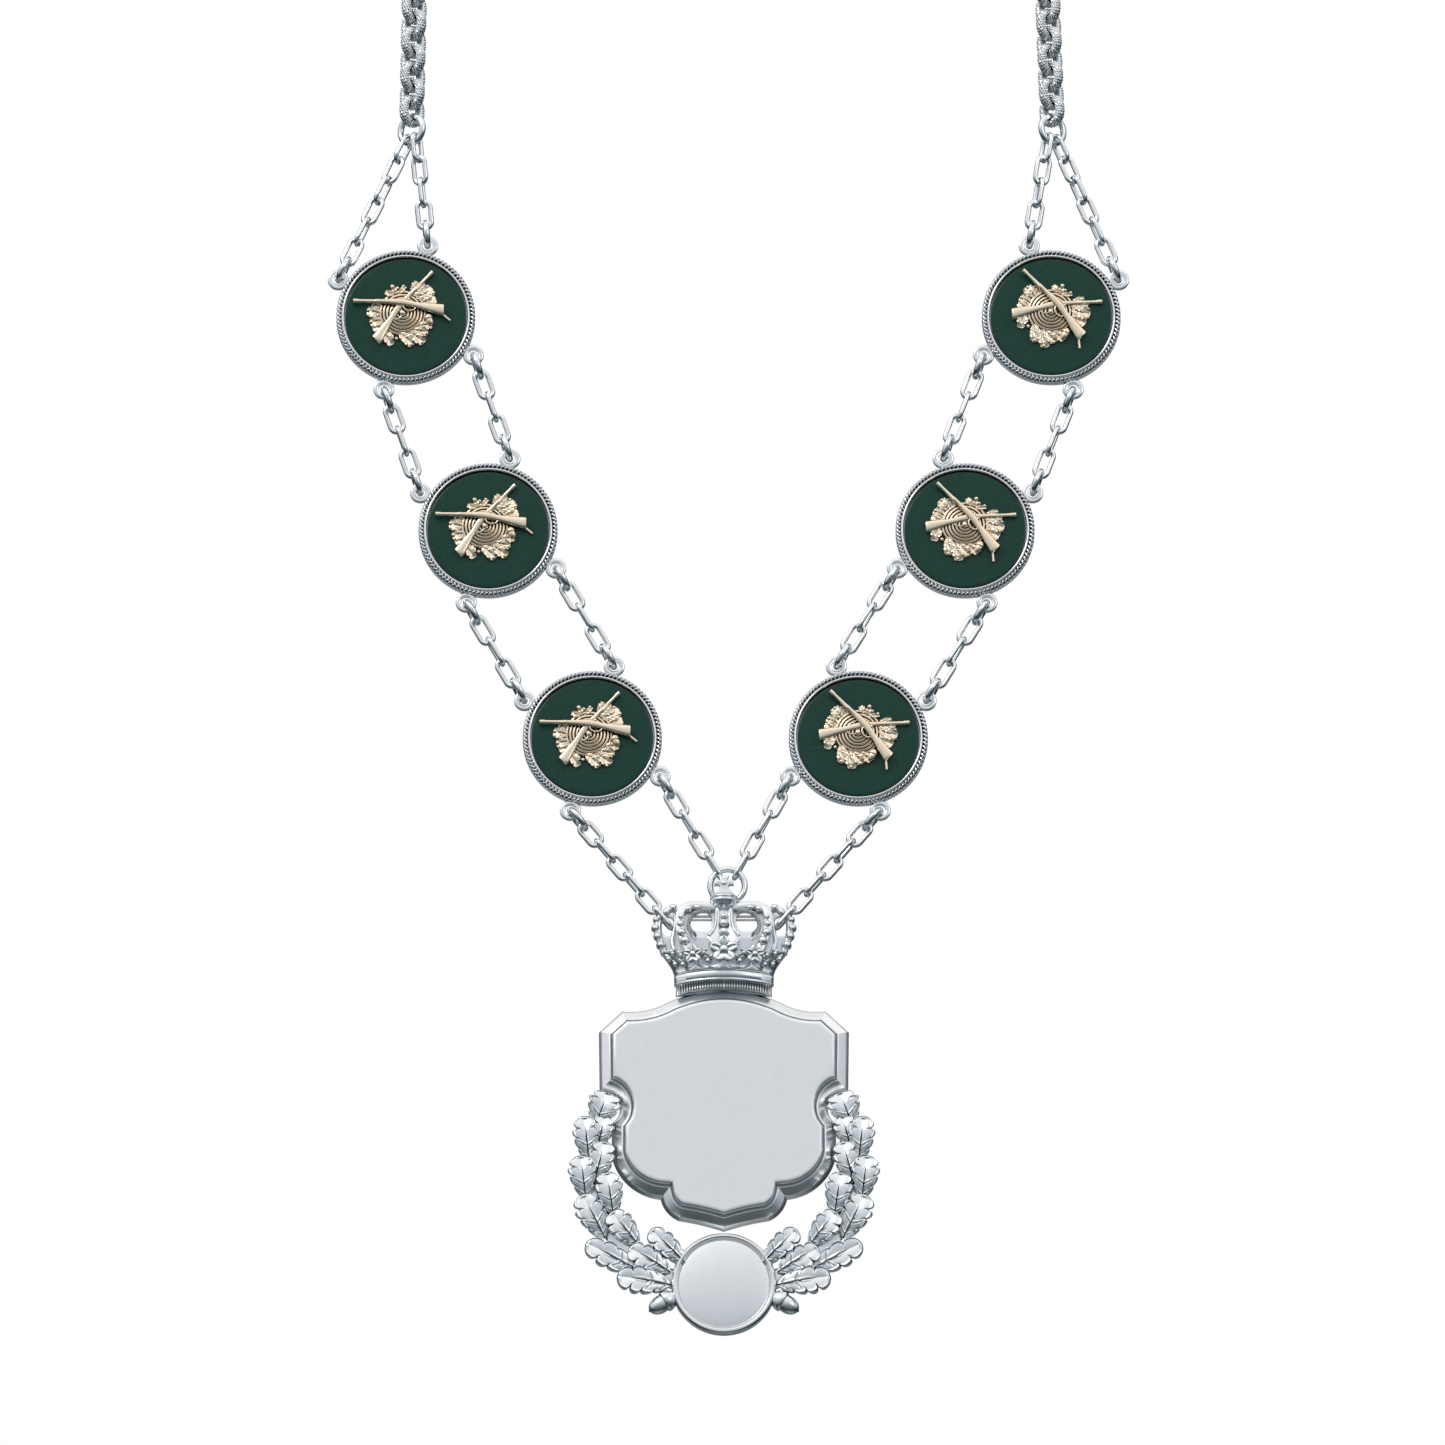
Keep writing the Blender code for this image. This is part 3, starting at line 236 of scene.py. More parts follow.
# The rest of the relief
LEAF_EDGE_GROWTH = 2.2          # how soon after the stalk the edge is curled in full
LEAF_GROUND = 0.35              # height without any relief
LEAF_SWELL = 0.20
LEAF_SWELL_ARC = (0.08, 0.85)   # where the swell starts on a half wave, and how much of it it takes
LEAF_SWELL_POWER = 0.8
LEAF_DROOP = 0.9                # how far the very edge falls back
LEAF_BACK = -0.4
MIDDLE_VEIN = 0.034             # its width
MIDDLE_VEIN_END = 0.76          # share of the length at which it has faded out
MIDDLE_VEIN_FADE = 5            # and how fast
MIDDLE_VEIN_CUT = 0.32
SIDE_VEIN_CUT = 0.26
VEIN_LIP = 0.55                 # height of the lip beside a vein over the vein's depth
LEAF_OVERLAP = 0.06             # share of its length by which each stalk runs under the leaf below
LEAF_REACH = 1.06               # length of the carved leaf over its plain CAD shape
LEAF_FULLNESS = 1.05            # width of the carved leaf over its plain CAD shape
MEDAL_MARGIN = 3.0 * MM         # leaves that start nearer to the small plate keep their place
ACORN_ANGLE = -17.4
ACORN_LEAN = -32
ACORN_LENGTH = 7.8 * MM
ACORN_STEPS = 32
# The nut and its cup: radius and height in millimetres
ACORN_NUT = ((0.0, 4.4), (0.25, 4.32), (0.42, 4.1), (0.95, 3.85), (1.55, 3.3), (2.0, 2.5),
             (2.25, 1.5), (2.28, 0.5), (2.1, -0.6), (0.0, -0.6))
ACORN_CUP = ((2.15, 0.05), (2.5, -0.05), (2.6, -0.5), (2.55, -1.1), (2.35, -1.8), (1.95, -2.5),
             (1.3, -3.1), (0.7, -3.4), (0.0, -3.5))
ACORN_CUP_PITTED = (2, 7)       # the part of the cup that is pitted
ACORN_CUP_RELIEF = 0.12         # millimetres

MEDALLIONS = table("name spread aside drop", ("upper", 1.006, 0.005, 0.2492),
                   ("middle", 0.7425, -0.001, 0.5313), ("lower", 0.4136, -0.005, 0.8058))

# Route of the neck chain on one side, as in the CAD source: outward, backward and upward from the
# connecting ring's centre, as shares of the rings' spread, of the loop's depth and of its rise
NECK_ROUTE = table(
    "out back up",
    (1.000, 0.000, 0.030), (0.996, 0.000, 0.090), (0.990, 0.000, 0.185), (0.985, 0.015, 0.300),
    (0.983, 0.060, 0.440), (0.970, 0.160, 0.600), (0.930, 0.320, 0.755), (0.840, 0.540, 0.880),
    (0.670, 0.770, 0.955), (0.420, 0.930, 0.988), (0.190, 0.985, 0.999), (0.000, 1.000, 1.000))

# Shield, right half from the top's middle to the tip: shares of its half width and height, and how
# far the stretch that starts there bulges outward, as a share of the half width
SHIELD_OUTLINE = table(
    "out down bulge",
    (0.000, -0.0300, 0.027), (0.460, 0.027, -0.029), (0.812, 0.062, 0.0), (1.000, 0.152, 0.0),
    (0.994, 0.409, -0.112), (0.897, 0.538, 0.0), (0.897, 0.678, 0.090), (0.505, 0.864, 0.028),
    (0.359, 0.955, -0.009), (0.000, 1.000, 0.0))
# Its edge from the back to the plate in millimetres: how far inward of the outline and how far
# forward
SHIELD_SECTION = (
    (0.35, -1.50), (0.08, -1.42), (0.0, -1.2), (0.03, -0.95), (0.68, 0.22), (0.80, 0.34),
    (2.55, 1.58), (2.72, 1.62), (2.86, 1.50), (2.98, 1.15), (3.14, 1.02), (3.26, 1.10),
    (3.44, 2.40), (3.56, 2.70), (3.76, 2.90), (4.15, 3.0), (4.5, 3.0))

# Crown. Its numbers are millimetres, or degrees for angles, and shares where a comment says so.
# Drops are measured from the crown ring's centre. Outlines are pairs of x and drop
CROWN_EDGE = ((0.0, 4.7), (3.0, 4.9), (6.6, 4.4), (9.6, 4.6), (10.8, 5.7), (12.5, 5.3),
              (14.4, 6.1), (16.4, 7.9), (17.2, 9.6), (17.3, 11.6), (16.9, 13.8), (15.9, 16.2),
              (15.2, 18.4))
CROWN_SIDE = ((13.8, 20.4), (12.3, 23.4), (11.9, 28.9))
CROWN_FOOT_DROP = 27.6
CROWN_PLATE_ROUNDING = 0.25 * MM
CROWN_HOLES = (
    ((3.1, 8.4), (3.2, 10.6), (4.3, 11.9), (6.4, 12.0), (8.0, 11.6), (8.35, 9.9), (7.5, 8.0),
     (5.9, 7.1), (4.2, 7.2)),
    ((12.3, 10.2), (12.5, 12.2), (13.4, 13.2), (14.9, 12.9), (15.5, 11.4), (15.3, 9.4),
     (14.2, 8.3), (13.0, 8.7)))
# The circlet's section, from its upper rim round to its inner side: drop and radius
CIRCLET_SECTION = (
    (17.95, 15.0), (17.6, 15.35), (17.6, 15.75), (17.9, 15.85), (18.6, 15.2), (19.4, 14.6),
    (20.3, 13.98), (20.8, 13.66), (21.1, 13.46), (21.4, 13.28), (21.7, 13.1), (22.0, 12.94),
    (22.3, 12.8), (22.6, 12.66), (22.9, 12.54), (23.15, 12.40), (23.25, 12.75), (23.40, 12.88),
    (23.55, 12.75), (23.65, 12.36), (23.75, 12.50), (24.5, 12.44), (25.2, 12.40), (25.30, 12.15),
    (25.45, 12.52), (25.70, 12.66), (25.95, 12.55), (26.10, 12.20), (26.30, 12.02), (26.7, 11.98),
    (27.1, 11.96), (27.5, 11.95), (27.85, 11.95), (28.0, 11.95), (28.1, 11.9), (27.5, 11.9),
    (24.6, 11.6), (24.4, 10.9), (24.0, 11.0), (21.0, 12.2), (18.8, 13.9))
CIRCLET_BEHIND = (35, 36)       # the two points of the section that lie on the crown's plate
CIRCLET_BEHIND_FORWARD = 0.2
CIRCLET_OUTER = (3, 16)         # the part of the section that carries scallops and flowers
CIRCLET_DEPTH = 0.46            # how far its middle stands forward, as a share of its radius
CIRCLET_FOOT_DEPTH = 0.41       # the same at its foot
CIRCLET_WAIST_DROP = 23.0
CIRCLET_FOOT_DROP = 28.3
CIRCLET_BOW = 0.72              # share by which the sides stand less far forward
CIRCLET_SIDE_POWER = 16         # how late the circlet turns back at its sides
PROUD_SIDE_POWER = 12           # and how late its relief fades there
CIRCLET_ARCH = 0.20             # how much lower the sides of its lower part hang
CIRCLET_ARCH_DROP = 22.5
CIRCLET_SIDE_SHARES = (0.985, 0.992, 0.997, 1.0)    # of its radius, where points lie close
TOOTH_STEPS = 6
CIRCLET_TEETH = 18              # on each side of the middle
TOOTH_DEPTH = 0.50
TOOTH_DROPS = (26.25, 28.05)
COMB_TOP = 26.1                 # the toothed part, which leans back downward
COMB_LEAN = 0.55
COMB_FLARE = 27.3               # where its foot starts to come forward again
COMB_FLARE_SLOPE = 1.7
COMB_ARCH = 0.75                # how much lower its bottom hangs at the sides
BAND_DROPS = (23.0, 26.3)       # the smooth band, whose sides are no wider than its radius
BAND_RADIUS = 12.45
RIM_TOP = 17.6                  # the upper rim, which dips between the flowers
RIM_FOOT = 20.5
RIM_DIP = 2.2
RIM_DRAW = 0.78                 # share of a dip by which the rim also draws in
RIM_PERIOD = 7.4
RIM_DIPS = 1.6                  # periods on each side
SCALLOP_CUSPS = (-21.6, -14.2, -7.1, 0.0, 7.1, 14.2, 21.6)
SCALLOP_HALF_WIDTH = 3.55
SCALLOP_TOP = 20.9
SCALLOP_FOOT = 23.2
SCALLOP_DIP = 2.2
SCALLOP_RISE = 0.75
SCALLOP_LEDGE = 0.85
# Pearls on the crown's right half, and on its middle
PEARL_COLUMNS = "x drop forward radius"
CROWN_PEARLS = table(
    PEARL_COLUMNS,
    (16.8, 9.1, 1.0, 0.80), (17.05, 11.3, 1.2, 0.95), (16.5, 13.5, 1.3, 0.98),
    (15.7, 15.8, 1.4, 1.05), (6.5, 6.2, 2.2, 0.72), (8.8, 6.6, 2.3, 0.72), (10.7, 8.9, 3.1, 0.78),
    (10.85, 11.1, 4.1, 0.88), (10.6, 13.6, 5.0, 1.05), (9.7, 15.9, 5.6, 1.12),
    (12.7, 5.9, 1.0, 0.85), (14.4, 7.1, 1.0, 0.80), (11.2, 7.3, 1.6, 0.75))
CENTRE_PEARLS = table(PEARL_COLUMNS, (0.0, 8.7, 2.9, 0.82), (0.0, 10.9, 4.1, 1.08),
                      (0.0, 13.5, 5.2, 1.05))
PEARL_SEAT = (0.45, 1.22, 0.5)  # its seat, in shares of its radius: depth, radius and flatness
# Bars of the crown's right half: a route of x, drop and forward, and half the width and depth
CROWN_BARS = table(
    "route half_width half_depth",
    (((2.0, 5.9, 1.0), (5.0, 5.6, 1.2), (8.0, 5.5, 1.3), (10.3, 6.6, 1.7), (11.0, 8.8, 2.5),
      (10.9, 12.0, 3.9), (10.2, 15.0, 4.8), (9.0, 18.0, 5.2)), 1.15, 0.48),
    (((11.5, 6.6, 0.4), (13.4, 6.3, 0.4), (15.6, 7.9, 0.5), (16.5, 10.4, 0.6), (16.4, 13.0, 0.7),
      (15.6, 15.6, 0.7), (14.7, 18.2, 0.6)), 0.95, 0.75),
    (((3.0, 7.0, 1.6), (5.6, 6.8, 1.2), (7.8, 7.8, 1.2), (8.7, 9.9, 1.6), (8.4, 12.0, 2.4),
      (7.2, 13.6, 3.2)), 0.38, 1.25),
    (((12.1, 8.0, 0.5), (12.2, 10.4, 0.6), (12.6, 12.9, 0.8), (12.9, 15.2, 1.2),
      (12.2, 17.8, 1.8)), 0.50, 0.60),
    (((1.9, 7.4, 2.3), (2.0, 9.6, 3.4), (2.15, 11.4, 4.3), (2.7, 13.0, 5.0), (3.8, 14.6, 5.5)),
     0.36, 0.55))
# Rails of the back band, seen through the openings: their drops, and x of their points
CROWN_RAIL_DROPS = (7.9, 8.8)
CROWN_RAIL = (2.5, 5.5, 8.8)
CROWN_RAIL_FORWARD = -0.3
CROWN_RAIL_RADIUS = 0.32 * MM
# The middle arch: drop, half the width and forward; and its section in shares of half the width
# and in millimetres backward
COLUMN_ROWS = ((6.2, 2.0, 1.9), (8.0, 2.05, 2.6), (10.0, 2.1, 3.5), (11.6, 2.3, 4.2),
               (13.2, 3.0, 4.9), (14.6, 3.95, 5.4), (15.1, 4.05, 5.5), (16.6, 2.9, 5.7))
COLUMN_SECTION = ((-1.0, 1.6), (1.0, 1.6), (1.0, 0.2), (0.82, 0.0), (0.55, 0.05), (0.45, 0.35),
                  (-0.45, 0.35), (-0.55, 0.05), (-0.82, 0.0), (-1.0, 0.2))
# The bowl under the cross: radius and height, from the crown ring's centre
ORB_SECTION = ((0.0, -3.0), (2.9, -3.0), (3.3, -3.15), (3.5, -3.4), (3.42, -3.62), (3.2, -3.75),
               (3.2, -3.9), (3.42, -4.05), (3.46, -4.3), (3.25, -4.5), (2.95, -5.2), (2.3, -5.9),
               (1.4, -6.5), (0.7, -6.8), (0.0, -6.9))
ORB_STEPS = 48
ORB_DEPTH_SHARE = 0.8
ORB_FORWARD = 1.0
CROSS_EDGE = ((0.0, -1.55), (0.6, -1.95), (1.25, -1.8), (0.85, -0.75), (1.75, -0.95),
              (2.4, -0.55), (2.45, 0.6), (1.5, 0.5), (1.0, 1.0), (2.1, 2.0), (2.7, 3.2),
              (0.0, 3.2))
CROSS_PLATE = (1.2 * MM, 2.9 * MM, 0.3 * MM)        # back, front and rounding
CROSS_PEARL = table(PEARL_COLUMNS, (0.0, 0.0, 2.75, 0.75))[0]
CROSS_PEARL_FLATNESS = 0.7
FLOWERS = table("x drop petals length width", (0.0, 18.9, 5, 3.75, 3.4),
                (7.4, 19.6, 5, 2.7, 2.4), (-7.4, 19.6, 5, 2.7, 2.4))
FLOWER_TURN = 90
FLOWER_PROUD = 0.25
FLOWER_HEIGHT = 0.95
FLOWER_TILT = -16
FLOWER_MIDDLE = (0.85, 0.30)    # how far it stands forward, and its radius as a share of a petal
# Small trefoils between the flowers: x, drop, radius of the ball
TREFOILS = ((3.85, 21.2, 0.82), (9.9, 21.5, 0.80), (11.9, 21.1, 0.72), (13.4, 19.6, 0.80),
            (4.9, 19.2, 0.50), (10.6, 19.3, 0.60), (12.6, 18.6, 0.55))
# Their balls and petals, in shares of that radius
TREFOIL_BALL = (0.0, -0.2, 0.5)
TREFOIL_PETAL = (2.3, 1.35, 0.8)
TREFOIL_PETAL_START = (0.0, 0.3, 0.0)
TREFOIL_ANGLES = (38, 142)
TREFOIL_TILT = -14
PETAL_STEPS = 12
PETAL_COLUMNS = 12
PETAL_GROOVE = (0.42, 0.0, 0.22)    # height, middle and width, as the notch at its tip
PETAL_NOTCH = (0.10, 0.0, 0.35)
PETAL_END = 0.03
PETAL_OUTLINE = (0.08, 0.84, 1.15, 0.75)    # start and reach on a half wave, and two powers
PETAL_SWELL = (0.35, 0.65, 0.15, 0.7)       # ground, height, and start and reach on a half wave
PETAL_BACK = -0.3

# Oak leaves of the right branch, from the top down, as in the CAD source: angles in degrees,
# reaches and width as shares of the wreath's sizes
LEAVES = table(
    "tip_angle tip_reach stalk_angle stalk_reach width",
    (-30.3, 1.02, -16.3, 1.01, 0.235), (-16.8, 1.10, -1.0, 1.02, 0.185),
    (-20.2, 0.96, -6.7, 0.96, 0.165), (-7.7, 0.91, 9.1, 0.99, 0.185),
    (-0.5, 1.08, 14.8, 1.08, 0.200), (7.8, 0.89, 25.9, 0.93, 0.195),
    (15.9, 1.10, 32.8, 1.08, 0.210), (27.2, 0.94, 44.6, 0.92, 0.195),
    (45.8, 0.78, 70.0, 0.85, 0.170), (33.9, 1.21, 52.6, 1.08, 0.195),
    (44.8, 0.99, 65.1, 0.96, 0.190), (49.4, 1.21, 67.5, 1.05, 0.205))

# A rifle from its muzzle to its butt: shares of its length; sizes in millimetres
RIFLE_LENGTH = 22.8
RIFLE_SECTIONS = table(
    "along offset half_height half_depth",
    (0.000, 0.00, 0.42, 0.42), (0.004, 0.00, 0.64, 0.62), (0.060, 0.00, 0.62, 0.62),
    (0.070, 0.00, 0.52, 0.54), (0.250, 0.00, 0.54, 0.56), (0.258, 0.00, 0.64, 0.62),
    (0.290, 0.00, 0.64, 0.62), (0.298, 0.00, 0.56, 0.58), (0.400, -0.02, 0.66, 0.62),
    (0.470, -0.08, 0.84, 0.70), (0.550, -0.20, 0.94, 0.74), (0.620, -0.48, 0.90, 0.72),
    (0.680, -0.80, 0.78, 0.66), (0.740, -1.08, 0.80, 0.66), (0.800, -1.32, 1.02, 0.70),
    (0.880, -1.66, 1.28, 0.76), (0.960, -2.02, 1.50, 0.84), (0.985, -2.10, 1.56, 0.84),
    (1.000, -2.12, 1.46, 0.76), (0.998, -2.12, 1.15, 0.48), (0.960, -2.05, 0.95, 0.36))
RIFLE_SIDES = 14
RIFLE_BARREL_END = 0.34         # share of the length before which the sections are round
RIFLE_STOCK_ROUNDNESS = 0.72
# Trigger guard and knobs in millimetres: places, and a knob's radius and steps
RIFLE_GUARD = ((12.6, -1.0), (12.9, -1.85), (13.7, -2.3), (14.7, -2.35), (15.4, -2.05), (15.8, -1.4))
RIFLE_GUARD_FORWARD = 0.2
RIFLE_GUARD_RADIUS = 0.22 * MM
RIFLE_KNOBS = (((14.0, 0.50, 0.3), 0.42, 10), ((12.6, 0.70, 0.2), 0.3, 8))
# Muzzles in millimetres from the medallion's centre, which way the rifle points and how steeply
RIFLES = table("x y flip slope height", (-10.95, 8.3, 1, 22.5, 1.60), (10.6, 8.15, -1, 24.5, 0.90))
RIFLE_SINK = 0.3                # how far the rifles lie below their height
RIFLE_STRAP = ((8.3, -2.6), (8.7, -3.3), (9.2, -4.2), (9.8, -5.4))
RIFLE_STRAP_FORWARD = 0.75
RIFLE_STRAP_RADIUS = 0.34 * MM
# Sprigs round the target in millimetres from the medallion's centre, the angle in degrees
MOTIF_SPRIGS = table(
    "x y angle length width height",
    (-0.3, 5.9, 142, 2.9, 1.9, 1.1), (0.0, 5.6, 96, 2.5, 1.7, 1.1), (0.2, 6.0, 24, 3.0, 1.4, 1.1),
    (2.6, 4.2, 17, 5.4, 3.6, 1.3), (2.4, 3.2, 5, 6.7, 3.6, 1.4), (3.4, 1.8, -6, 5.4, 3.2, 1.2),
    (3.4, 5.0, 38, 3.6, 2.4, 1.1), (-4.9, 2.5, 149, 4.4, 3.4, 1.3), (-5.0, 0.9, 170, 4.2, 3.0, 1.2),
    (-5.2, -0.5, 174, 3.9, 2.6, 1.1), (-4.3, 3.7, 128, 3.4, 2.2, 1.0),
    (-0.4, -3.6, -35, 4.8, 2.8, 1.3), (-0.8, -4.0, -60, 5.1, 3.2, 1.2),
    (-3.2, -3.4, -63, 5.0, 3.2, 1.2), (-2.2, -3.8, -82, 4.4, 2.6, 1.0),
    (-6.8, -1.2, -81, 4.8, 2.7, 1.2), (-5.4, -2.0, -106, 3.2, 2.4, 0.9),
    (1.6, -3.4, -20, 4.0, 2.6, 1.0))
SPRIG_COLUMNS = (0.0, 0.14, 0.40, 0.68, 0.88, 1.0)
SPRIG_STEPS = 28
SPRIG_VEIN = 0.035
SPRIG_DEPTH = 0.45              # of its height
SPRIG_FORWARD = 0.15 * MM
SPRIG_HIDDEN = 0.4              # share of a sprig that the target may hide at most
SPRIG_REACH = 5.0               # how far from the target's middle the sprigs start
# Knobs among them: place, radius, all in millimetres
MOTIF_BALLS = (
    (-0.3, 8.35, 0.65), (0.75, 7.5, 0.52), (2.3, 7.4, 0.50), (-1.5, 7.2, 0.45), (7.9, 5.0, 0.62),
    (8.6, 3.0, 0.62), (7.5, 1.9, 0.55), (6.6, 5.9, 0.5), (-8.1, 4.8, 0.60), (-8.6, 1.7, 0.62),
    (-8.4, 3.3, 0.5), (-3.2, -5.1, 0.55), (-1.5, -7.5, 0.52), (1.2, -8.0, 0.50), (3.1, -6.2, 0.55),
    (-4.4, -4.7, 0.52), (-0.2, -6.8, 0.5))
MOTIF_BALL_FORWARD = 0.40 * MM
MOTIF_ACORN = (5.1, -3.0, -94)  # the middle of its cup in millimetres, the angle in degrees
MOTIF_ACORN_SCALE = 0.46
MOTIF_ACORN_FORWARD = 0.45 * MM
# The target in millimetres: its middle, then its boss as radius and height
TARGET_CENTRE = (-0.45, 1.0)
TARGET_RADIUS = 6.0
TARGET_BOSS = ((0.0, 1.30), (0.45, 1.22), (0.75, 0.98), (0.86, 0.55))
TARGET_RIDGES_START = 0.95
TARGET_RIDGES = 6
# A ridge: share of the pitch, and height
TARGET_RIDGE = ((0.0, 0.26), (0.14, 0.62), (0.32, 0.84), (0.64, 0.84), (0.84, 0.62))
TARGET_FALL = 0.02              # how much lower each ridge is than the one inside it
TARGET_EDGE = 0.30              # height of its edge
TARGET_STEPS = 96

# Looks: colours, scales of the grain, and how dark the shade painted into a hollow is
SILVER = ((0.93, 0.95, 0.965), (0.87, 0.895, 0.91))
COLOUR_GRAIN = 260.0
GLOSS_GRAIN = 900.0
GRAIN_STRENGTH = 0.35
HOLLOW_SHADE = 0.15
HOLLOW_OPENNESS = (0.15, 0.75)
HOLLOW_SAMPLES = 6
ENAMEL_GREENS = ((0.004, 0.040, 0.028), (0.008, 0.060, 0.042))
ENAMEL_EDGE_COLOUR = (0.06, 0.028, 0.014)
ENAMEL_EDGE = (0.988, 0.998)    # shares of its radius between which the brown edge starts
FLOOR_SHADES = ((0.80, 0.80, 0.80), (0.84, 0.84, 0.84))


def mm(x, y, z=0.0):
    """A point given in millimetres."""
    return Vector((x * MM, y * MM, z * MM))


def polar(radius, degrees, height=0.0):
    """The point at a radius and at an angle from +x towards +y."""
    angle = math.radians(degrees)
    return Vector((radius * math.cos(angle), radius * math.sin(angle), height))


def turn(degrees, axis):
    return Matrix.Rotation(math.radians(degrees), 4, axis)


def clamp(value, low=0.0, high=1.0):
    return min(high, max(low, value))


def signed_power(value, power):
    return math.copysign(abs(value) ** power, value)


def ridge(value, height, middle, width):
    """Height of a rounded ridge at a value."""
    return height * math.exp(-((value - middle) / width) ** 2)


FACING = turn(90, "X")
MIRROR = Matrix.Scale(-1, 4, Vector((1, 0, 0)))


def place(x, drop, forward=0.0):
    """The point at x, below the connecting rings and forward of the chest plane."""
    return Vector((x, -LOOP_DEPTH - forward, -LOOP_RISE - drop))


def medallion_matrix(row, side):
    x = (side * row.spread + row.aside) * CONNECTING_RING_SPREAD
    centre = place(x, row.drop * CROWN_RING_DROP)
    return Matrix.Translation(centre) @ FACING @ turn(-side * MEDALLION_TILT, "Z")


def eye_spot(name):
    """Where one of a medallion's eyes stands, in the medallion's own coordinates."""
    level, flank = name.split("_")
    outward = 1 if (level == "upper") == (flank == "left") else -1
    return polar(EYE_REACH, (90 if level == "upper" else 270) + outward * EYE_SPREAD)


def connecting_ring_centre(side):
    return place(side * CONNECTING_RING_SPREAD + CONNECTING_RING_ASIDE, 0.0)


def connecting_ring_point(side, degrees):
    """A point on the connecting ring's wire, and the wire's direction there."""
    outward = polar(1.0, CONNECTING_RING_TURN)
    outward.x *= side
    radius = (CONNECTING_RING_DIAMETER - CONNECTING_RING_WIRE) / 2
    arm = polar(1.0, degrees)
    point = connecting_ring_centre(side) + radius * (outward * arm.y - UP * arm.x)
    return point, outward * arm.x + UP * arm.y


def crown_ring_centre():
    return place(CROWN_RING_ASIDE, CROWN_RING_DROP)


def crown_ring_point(side):
    """The point of the crown ring's wire that a strand holds, and the wire's direction there."""
    radius = (CROWN_RING_DIAMETER - CROWN_RING_WIRE) / 2
    arm = polar(1.0, side * CROWN_HOOK_ANGLE)
    return (crown_ring_centre() + radius * Vector((arm.y, 0.0, arm.x)),
            Vector((arm.x, 0.0, -arm.y)))


def pendant_matrix():
    return Matrix.Translation(place(PENDANT_ASIDE, CROWN_RING_DROP)) @ FACING


def crown_point(out, down):
    """A place on the crown, in the pendant's own coordinates, from shares of its sizes."""
    return Vector((out * CROWN_HALF_WIDTH, -CROWN_TOP_DROP - down * CROWN_HEIGHT, 0.0))


def wreath_point(degrees, reach, forward=0.0):
    """A place on the right branch, in the pendant's own coordinates."""
    arm = polar(reach, degrees)
    return Vector((arm.x * WREATH_HALF_WIDTH, -WREATH_DROP - arm.y * WREATH_DEPTH, forward))


def local(x, drop, forward=0.0):
    """A place on the pendant, in its own coordinates, from millimetres."""
    return mm(x, -drop, forward)


def surface(rows, wrap_rows=False, wrap_columns=True, caps=False):
    """Faces between neighbouring rows of points."""
    width = len(rows[0])
    points = [point for row in rows for point in row]
    faces = []
    for i in range(len(rows) if wrap_rows else len(rows) - 1):
        below = i * width
        above = (i + 1) % len(rows) * width
        for j in range(width if wrap_columns else width - 1):
            k = (j + 1) % width
            faces.append((below + j, below + k, above + k, above + j))
    if caps:
        faces.append(tuple(reversed(range(width))))
        faces.append(tuple(range(len(points) - width, len(points))))
    return points, faces


def moved(shape, matrix):
    points, faces = shape
    if matrix.determinant() < 0:
        faces = [tuple(reversed(face)) for face in faces]
    return [matrix @ point for point in points], faces


def joined(shapes):
    points = []
    faces = []
    for shape_points, shape_faces in shapes:
        start = len(points)
        points.extend(shape_points)
        faces.extend(tuple(start + k for k in face) for face in shape_faces)
    return points, faces


def circle_path(radius, count):
    return [polar(radius, 360 * k / count) for k in range(count)]


def oval_path(length, width, count):
    """The middle line of an oval link: two half circles, joined by straight sides."""
    radius = width / 2
    half = count // 2
    return [Vector((end * (length / 2 - radius), 0.0, 0.0))
            + polar(radius, 180 * k / (half - 1) - end * 90)
            for end in (1, -1) for k in range(half)]


def even_loop(path, count):
    """Points at even distances along a closed path."""
    lengths = [(path[(k + 1) % len(path)] - point).length for k, point in enumerate(path)]
    step = sum(lengths) / count
    points = []
    passed = 0.0
    for k, length in enumerate(lengths):
        while len(points) < count and len(points) * step < passed + length:
            share = (len(points) * step - passed) / length
            points.append(path[k].lerp(path[(k + 1) % len(path)], share))
        passed += length
    return points


def smooth_route(points, count, closed=False):
    """Many points on a smooth curve through the chosen ones."""
    if closed:
        ends = [points[-1]] + points + points[:2]
    else:
        ends = [2 * points[0] - points[1]] + points + [2 * points[-1] - points[-2]]
    fine = []
    for p0, p1, p2, p3 in zip(ends, ends[1:], ends[2:], ends[3:]):
        for k in range(count):
            t = k / count
            fine.append(0.5 * ((2 * p1) + (p2 - p0) * t + (2 * p0 - 5 * p1 + 4 * p2 - p3) * t ** 2
                               + (3 * p1 - p0 - 3 * p2 + p3) * t ** 3))
    return fine if closed else fine + [points[-1]]


def mirrored(half):
    """A closed outline from its right half, which starts and ends on the middle line."""
    return half + [Vector((-point.x, point.y, 0.0)) for point in reversed(half[1:-1])]


def round_section(radius, sides, flattening=1.0):
    return [(point.x, point.y * flattening) for point in circle_path(radius, sides)]


def swept(path, section, closed=True):
    """A bar with the given section, of pairs outward and upward, along a path."""
    rows = []
    count = len(path)
    for i, point in enumerate(path):
        before = path[i - 1] if closed or i else point
        after = path[(i + 1) % count] if closed or i + 1 < count else point
        tangent = (after - before).normalized()
        across = tangent.cross(UP).normalized()
        upward = across.cross(tangent)
        rows.append([point + across * u + upward * v for u, v in section])
    return surface(rows, wrap_rows=closed, caps=not closed)


def turned(profile, steps, unit=1.0, relief=lambda i, j: 0.0):
    """A turned shape round the z axis from pairs of radius and height."""
    rows = []
    for i in range(steps):
        rows.append([polar((radius + relief(i, j)) * unit, 360 * i / steps, height * unit)
                     for j, (radius, height) in enumerate(profile)])
    return surface(rows, wrap_rows=True, wrap_columns=False)


